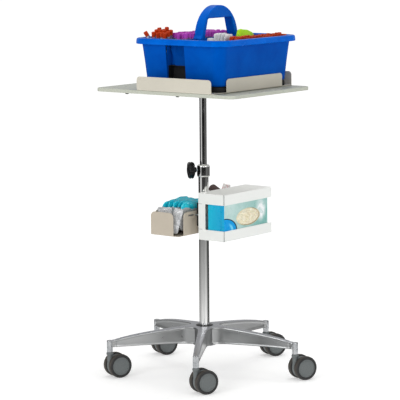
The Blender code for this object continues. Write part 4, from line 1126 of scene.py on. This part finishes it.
pack("pale_pack", paper, "base", (60.0, 70.0, 16.0), (-58.0, 164.0, 500.0), turned_by(-4, 6, 8), pressure=4.0, crease=0.0014)

# ------------------------------------------------------------------ clamp round the mast
for name in ("saddle_front", "saddle_rear"):
    cad_copy(name, black, "base", 0.9)
for name, y in (("clamp_bolt_near", -20.0), ("clamp_bolt_far", 20.0)):
    along_x = Matrix.Translation((0.0, y, 505.0)) @ Matrix.Rotation(math.pi / 2, 4, "Y")
    bolt = merged([
        lathe([(0.0, 23.4), (3.4, 23.4), (4.2, 22.8), (4.2, 19.9), (0.0, 19.9)], 6),
        lathe([(0.0, 19.9), (4.6, 19.9), (4.6, 19.3), (2.5, 19.3), (2.5, -19.3), (4.6, -19.3), (4.6, -19.9), (0.0, -19.9)], 32),
        lathe([(0.0, -19.9), (4.2, -19.9), (4.2, -22.8), (3.4, -23.4), (0.0, -23.4)], 6),
    ])
    emit(name + "_finish", moved(bolt, along_x), zinc, "base", (name,))

# ------------------------------------------------------------------ casters
WHEEL = [
    (0.0, 29.0), (9.0, 28.95), (16.0, 28.7), (21.0, 28.3), (22.9, 28.0), (23.3, 27.3), (24.1, 27.3), (24.6, 27.9), (27.0, 27.7), (28.0, 27.1), (28.4, 26.0),
    (28.4, 9.2), (27.8, 8.6), (4.4, 8.6), (4.4, 24.4), (0.0, 24.4),
]
TYRE = [
    (28.6, 26.6), (29.2, 27.4), (30.6, 27.8), (33.6, 27.5), (35.6, 26.7), (36.8, 25.2), (37.35, 23.0), (37.5, 20.4), (37.5, 15.8), (37.35, 13.4), (36.7, 11.0),
    (35.4, 9.4), (33.4, 8.7), (29.2, 8.65), (28.6, 9.2),
]


def local_mesh(name, bm, finish, sharp=30.0):
    bmesh.ops.remove_doubles(bm, verts=bm.verts, dist=0.002)
    bmesh.ops.recalc_face_normals(bm, faces=bm.faces)
    bmesh.ops.scale(bm, verts=bm.verts, vec=(0.001, 0.001, 0.001))
    mesh = bpy.data.meshes.new(name)
    bm.to_mesh(mesh)
    bm.free()
    mesh.materials.append(finish.mat)
    mesh.shade_smooth()
    mesh.set_sharp_from_angle(angle=math.radians(sharp))
    holder = weigh(bpy.data.objects.new(name, mesh))
    mesh = holder.data
    bpy.data.objects.remove(holder)
    return mesh


wheel_mesh = local_mesh("wheel_mesh", lathe(WHEEL, 96), caster_disc, 24.0)
tyre_mesh = local_mesh("tyre_mesh", lathe(TYRE, 128, True), tyre, 40.0)
inner_disc = moved(
    lathe([(0.0, 7.8), (32.4, 7.8), (33.6, 7.3), (34.0, 6.2), (34.0, 1.0), (33.7, 0.6), (33.7, -0.6), (34.0, -1.0), (34.0, -6.2), (33.6, -7.3), (32.4, -7.8), (0.0, -7.8)], 96),
    Matrix.Translation((26.5, 0.0, 37.5)) @ Matrix.Rotation(math.pi / 2, 4, "X"),
)
neck = lathe([(0.0, 80.6), (8.8, 80.6), (10.2, 80.0), (10.9, 78.6), (11.0, 73.4), (10.2, 72.9), (7.9, 72.4), (7.9, 42.0), (0.0, 42.0)], 64)
bore = lathe([(0.0, 90.0), (5.8, 90.0), (5.8, 63.1), (0.0, 63.1)], 48)
fork = combine(combine(inner_disc, [neck]), [bore], "DIFFERENCE")
fork_mesh = local_mesh("fork_mesh", fork, caster_grey, 30.0)
for k, angle in enumerate(ARM_ANGLES, 1):
    a = math.radians(angle)
    swivel = Matrix.Translation(MAST + Vector((STEM_AT * math.cos(a), STEM_AT * math.sin(a), 0.0)) * 0.001) @ Matrix.Rotation(math.radians(65.7), 4, "Z")
    axle = swivel @ Matrix.Translation((0.0265, 0.0, 0.0375)) @ Matrix.Rotation(math.pi / 2, 4, "X")
    settle(f"caster{k}_fork_finish", fork_mesh, caster_grey, f"caster{k}", (f"caster{k}_housing",), None, swivel)
    for side in "ab":
        spot = axle if side == "a" else axle @ Matrix.Rotation(math.pi, 4, "X")
        settle(f"caster{k}_disc_{side}", wheel_mesh, caster_disc, f"wheel{k}_{side}", (f"caster{k}_wheel_{side}",), None, spot)
        settle(f"caster{k}_tread_{side}", tyre_mesh, tyre, f"wheel{k}_{side}", (f"caster{k}_tyre_{side}",), None, spot)
    for part in ("stem", "axle"):
        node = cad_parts[f"caster{k}_{part}"]
        node.data.materials.clear()
        node.data.materials.append(zinc.mat)

# ------------------------------------------------------------------ stage and light
scene = bpy.context.scene
scene.view_settings.view_transform = "Standard"
scene.view_settings.look = "None"
WORLD, LAMPS = 0.54, 0.75
world = bpy.data.worlds.new("studio")
world.use_nodes = True
world.node_tree.nodes["Background"].inputs["Color"].default_value = (1.0, 1.0, 1.0, 1.0)
world.node_tree.nodes["Background"].inputs["Strength"].default_value = WORLD
scene.world = world

floor_finish = Finish("studio_floor", (0.88, 0.88, 0.88), 0.9)
floor_finish.colour(floor_finish.mix(floor_finish.range(floor_finish.noise(3.0, 4.0), 0.3, 0.7, 0, 1), (0.872, 0.872, 0.872), (0.886, 0.886, 0.886)))
floor_finish.bsdf.inputs["Emission Color"].default_value = (1.0, 1.0, 1.0, 1.0)
spread = floor_finish.new("ShaderNodeVectorMath", operation="DISTANCE")
floor_finish.put(floor_finish.coord, spread.inputs[0])
spread.inputs[1].default_value = tuple(MAST)
floor_finish.put(floor_finish.range(spread.outputs["Value"], 0.5, 3.5, 0.36, 0.62, True), floor_finish.bsdf.inputs["Emission Strength"])
plane = bmesh.new()
bmesh.ops.create_grid(plane, x_segments=1, y_segments=1, size=120.0)
mesh = bpy.data.meshes.new("studio_floor")
plane.to_mesh(mesh)
plane.free()
mesh.materials.append(floor_finish.mat)
floor = bpy.data.objects.new("studio_floor", mesh)
scene.collection.objects.link(floor)


def card(name, centre, size, tone, aim=None):
    """A panel that only reflections see: a flag or a reflector at the side of the set."""
    made = bpy.data.materials.new(name)
    made.use_nodes = True
    made.node_tree.nodes.clear()
    glow = made.node_tree.nodes.new("ShaderNodeEmission")
    out = made.node_tree.nodes.new("ShaderNodeOutputMaterial")
    made.node_tree.links.new(glow.outputs[0], out.inputs[0])
    glow.inputs[0].default_value = (*tone, 1.0)
    bm = bmesh.new()
    bmesh.ops.create_grid(bm, x_segments=1, y_segments=1, size=0.5)
    bmesh.ops.scale(bm, verts=bm.verts, vec=(size[0], size[1], 1.0))
    mesh = bpy.data.meshes.new(name)
    bm.to_mesh(mesh)
    bm.free()
    mesh.materials.append(made)
    obj = bpy.data.objects.new(name, mesh)
    scene.collection.objects.link(obj)
    where = MAST + to_frame(Vector(centre))
    target = MAST + to_frame(Vector(aim or (0.0, 0.0, centre[2])))
    obj.matrix_world = Matrix.Translation(where) @ (target - where).to_track_quat("Z", "Y").to_matrix().to_4x4()
    obj.visible_camera = obj.visible_diffuse = obj.visible_shadow = obj.visible_transmission = False
    return obj


dark = (0.012, 0.012, 0.013)


def reflected_floor():
    """A painted reflection of the floor for polished metal: bright close by, falling away to a dark room."""
    obj = card("reflected_floor", (0.0, -1.0, 0.004), (1.0, 1.0), dark, (0.0, -1.0, 5.0))
    falloff = ((0.75, 0.98), (1.0, 0.84), (1.6, 0.56), (2.9, 0.28), (4.2, 0.07), (5.5, 0.02), (9.0, 0.012), (30.0, 0.012))
    bm = bmesh.new()
    layer = bm.verts.layers.float.new("glow")
    rows = []
    for j in range(61):
        r = 0.75 * (30.0 / 0.75) ** (j / 60)
        row = []
        for i in range(144):
            bearing = -180.0 + 360.0 * i / 144
            a = math.radians(bearing)
            # Painted reflections: set bearings brighten or darken the glow, with a dark dip near -78 degrees and, far
            # off, a bright strip round -62 degrees and a faint one past 38 degrees, making streaks in the chrome.
            share = 1.0
            if bearing > 62.0:
                share = 1.0 - 0.86 * min(1.0, (bearing - 62.0) / 22.0)
            elif bearing > 12.0:
                share = 1.0 + 0.24 * math.sin(math.pi * (bearing - 12.0) / 50.0)
            if bearing < -92.0:
                share = 1.0 - 0.66 * min(1.0, (-92.0 - bearing) / 16.0)
            elif bearing < -64.0:
                share = 1.0 - 0.42 * math.sin(math.pi * (bearing + 92.0) / 28.0)
            glow = read(falloff, r) * share
            if r > 3.0:
                glow += min(1.0, (r - 3.0) / 1.0) * (0.66 * max(0.0, min(1.0, (27.0 - abs(bearing + 62.0)) / 8.0)) + 0.13 * max(0.0, min(1.0, (bearing - 38.0) / 16.0)))
            v = bm.verts.new(to_frame(Vector((r * math.sin(a), -r * math.cos(a), 0.0))))
            v[layer] = glow
            row.append(v)
        rows.append(row)
    for one, two in zip(rows, rows[1:]):
        for i in range(144):
            bm.faces.new((one[i], one[(i + 1) % 144], two[(i + 1) % 144], two[i]))
    bm.to_mesh(obj.data)
    bm.free()
    nodes, links = obj.data.materials[0].node_tree.nodes, obj.data.materials[0].node_tree.links
    glow = nodes.new("ShaderNodeAttribute")
    glow.attribute_name = "glow"
    links.new(glow.outputs["Fac"], nodes["Emission"].inputs["Color"])
    obj.matrix_world = Matrix.Translation(MAST + Vector((0.0, 0.0, 0.004)))


reflected_floor()


def softbox(name, centre, aim, size, power, colour=(1.0, 1.0, 1.0)):
    lamp = bpy.data.lights.new(name, "AREA")
    lamp.shape, lamp.size, lamp.size_y = "RECTANGLE", size[0], size[1]
    lamp.energy, lamp.color = power, colour
    obj = bpy.data.objects.new(name, lamp)
    scene.collection.objects.link(obj)
    where, target = MAST + to_frame(Vector(centre)), MAST + to_frame(Vector(aim))
    obj.matrix_world = Matrix.Translation(where) @ (where - target).to_track_quat("Z", "Y").to_matrix().to_4x4()
    return obj


softbox("key", (-2.6, -3.2, 2.3), (0.0, 0.0, 0.7), (1.3, 2.2), 59.0 * LAMPS)
softbox("fill", (3.0, -2.8, 1.7), (0.0, 0.0, 0.6), (1.0, 2.0), 27.0 * LAMPS)
softbox("front", (0.5, -4.6, 1.5), (0.0, 0.0, 0.6), (1.6, 1.2), 26.0 * LAMPS)
softbox("overhead", (0.3, 0.6, 3.6), (0.0, 0.0, 0.6), (2.0, 2.0), 39.0 * LAMPS)
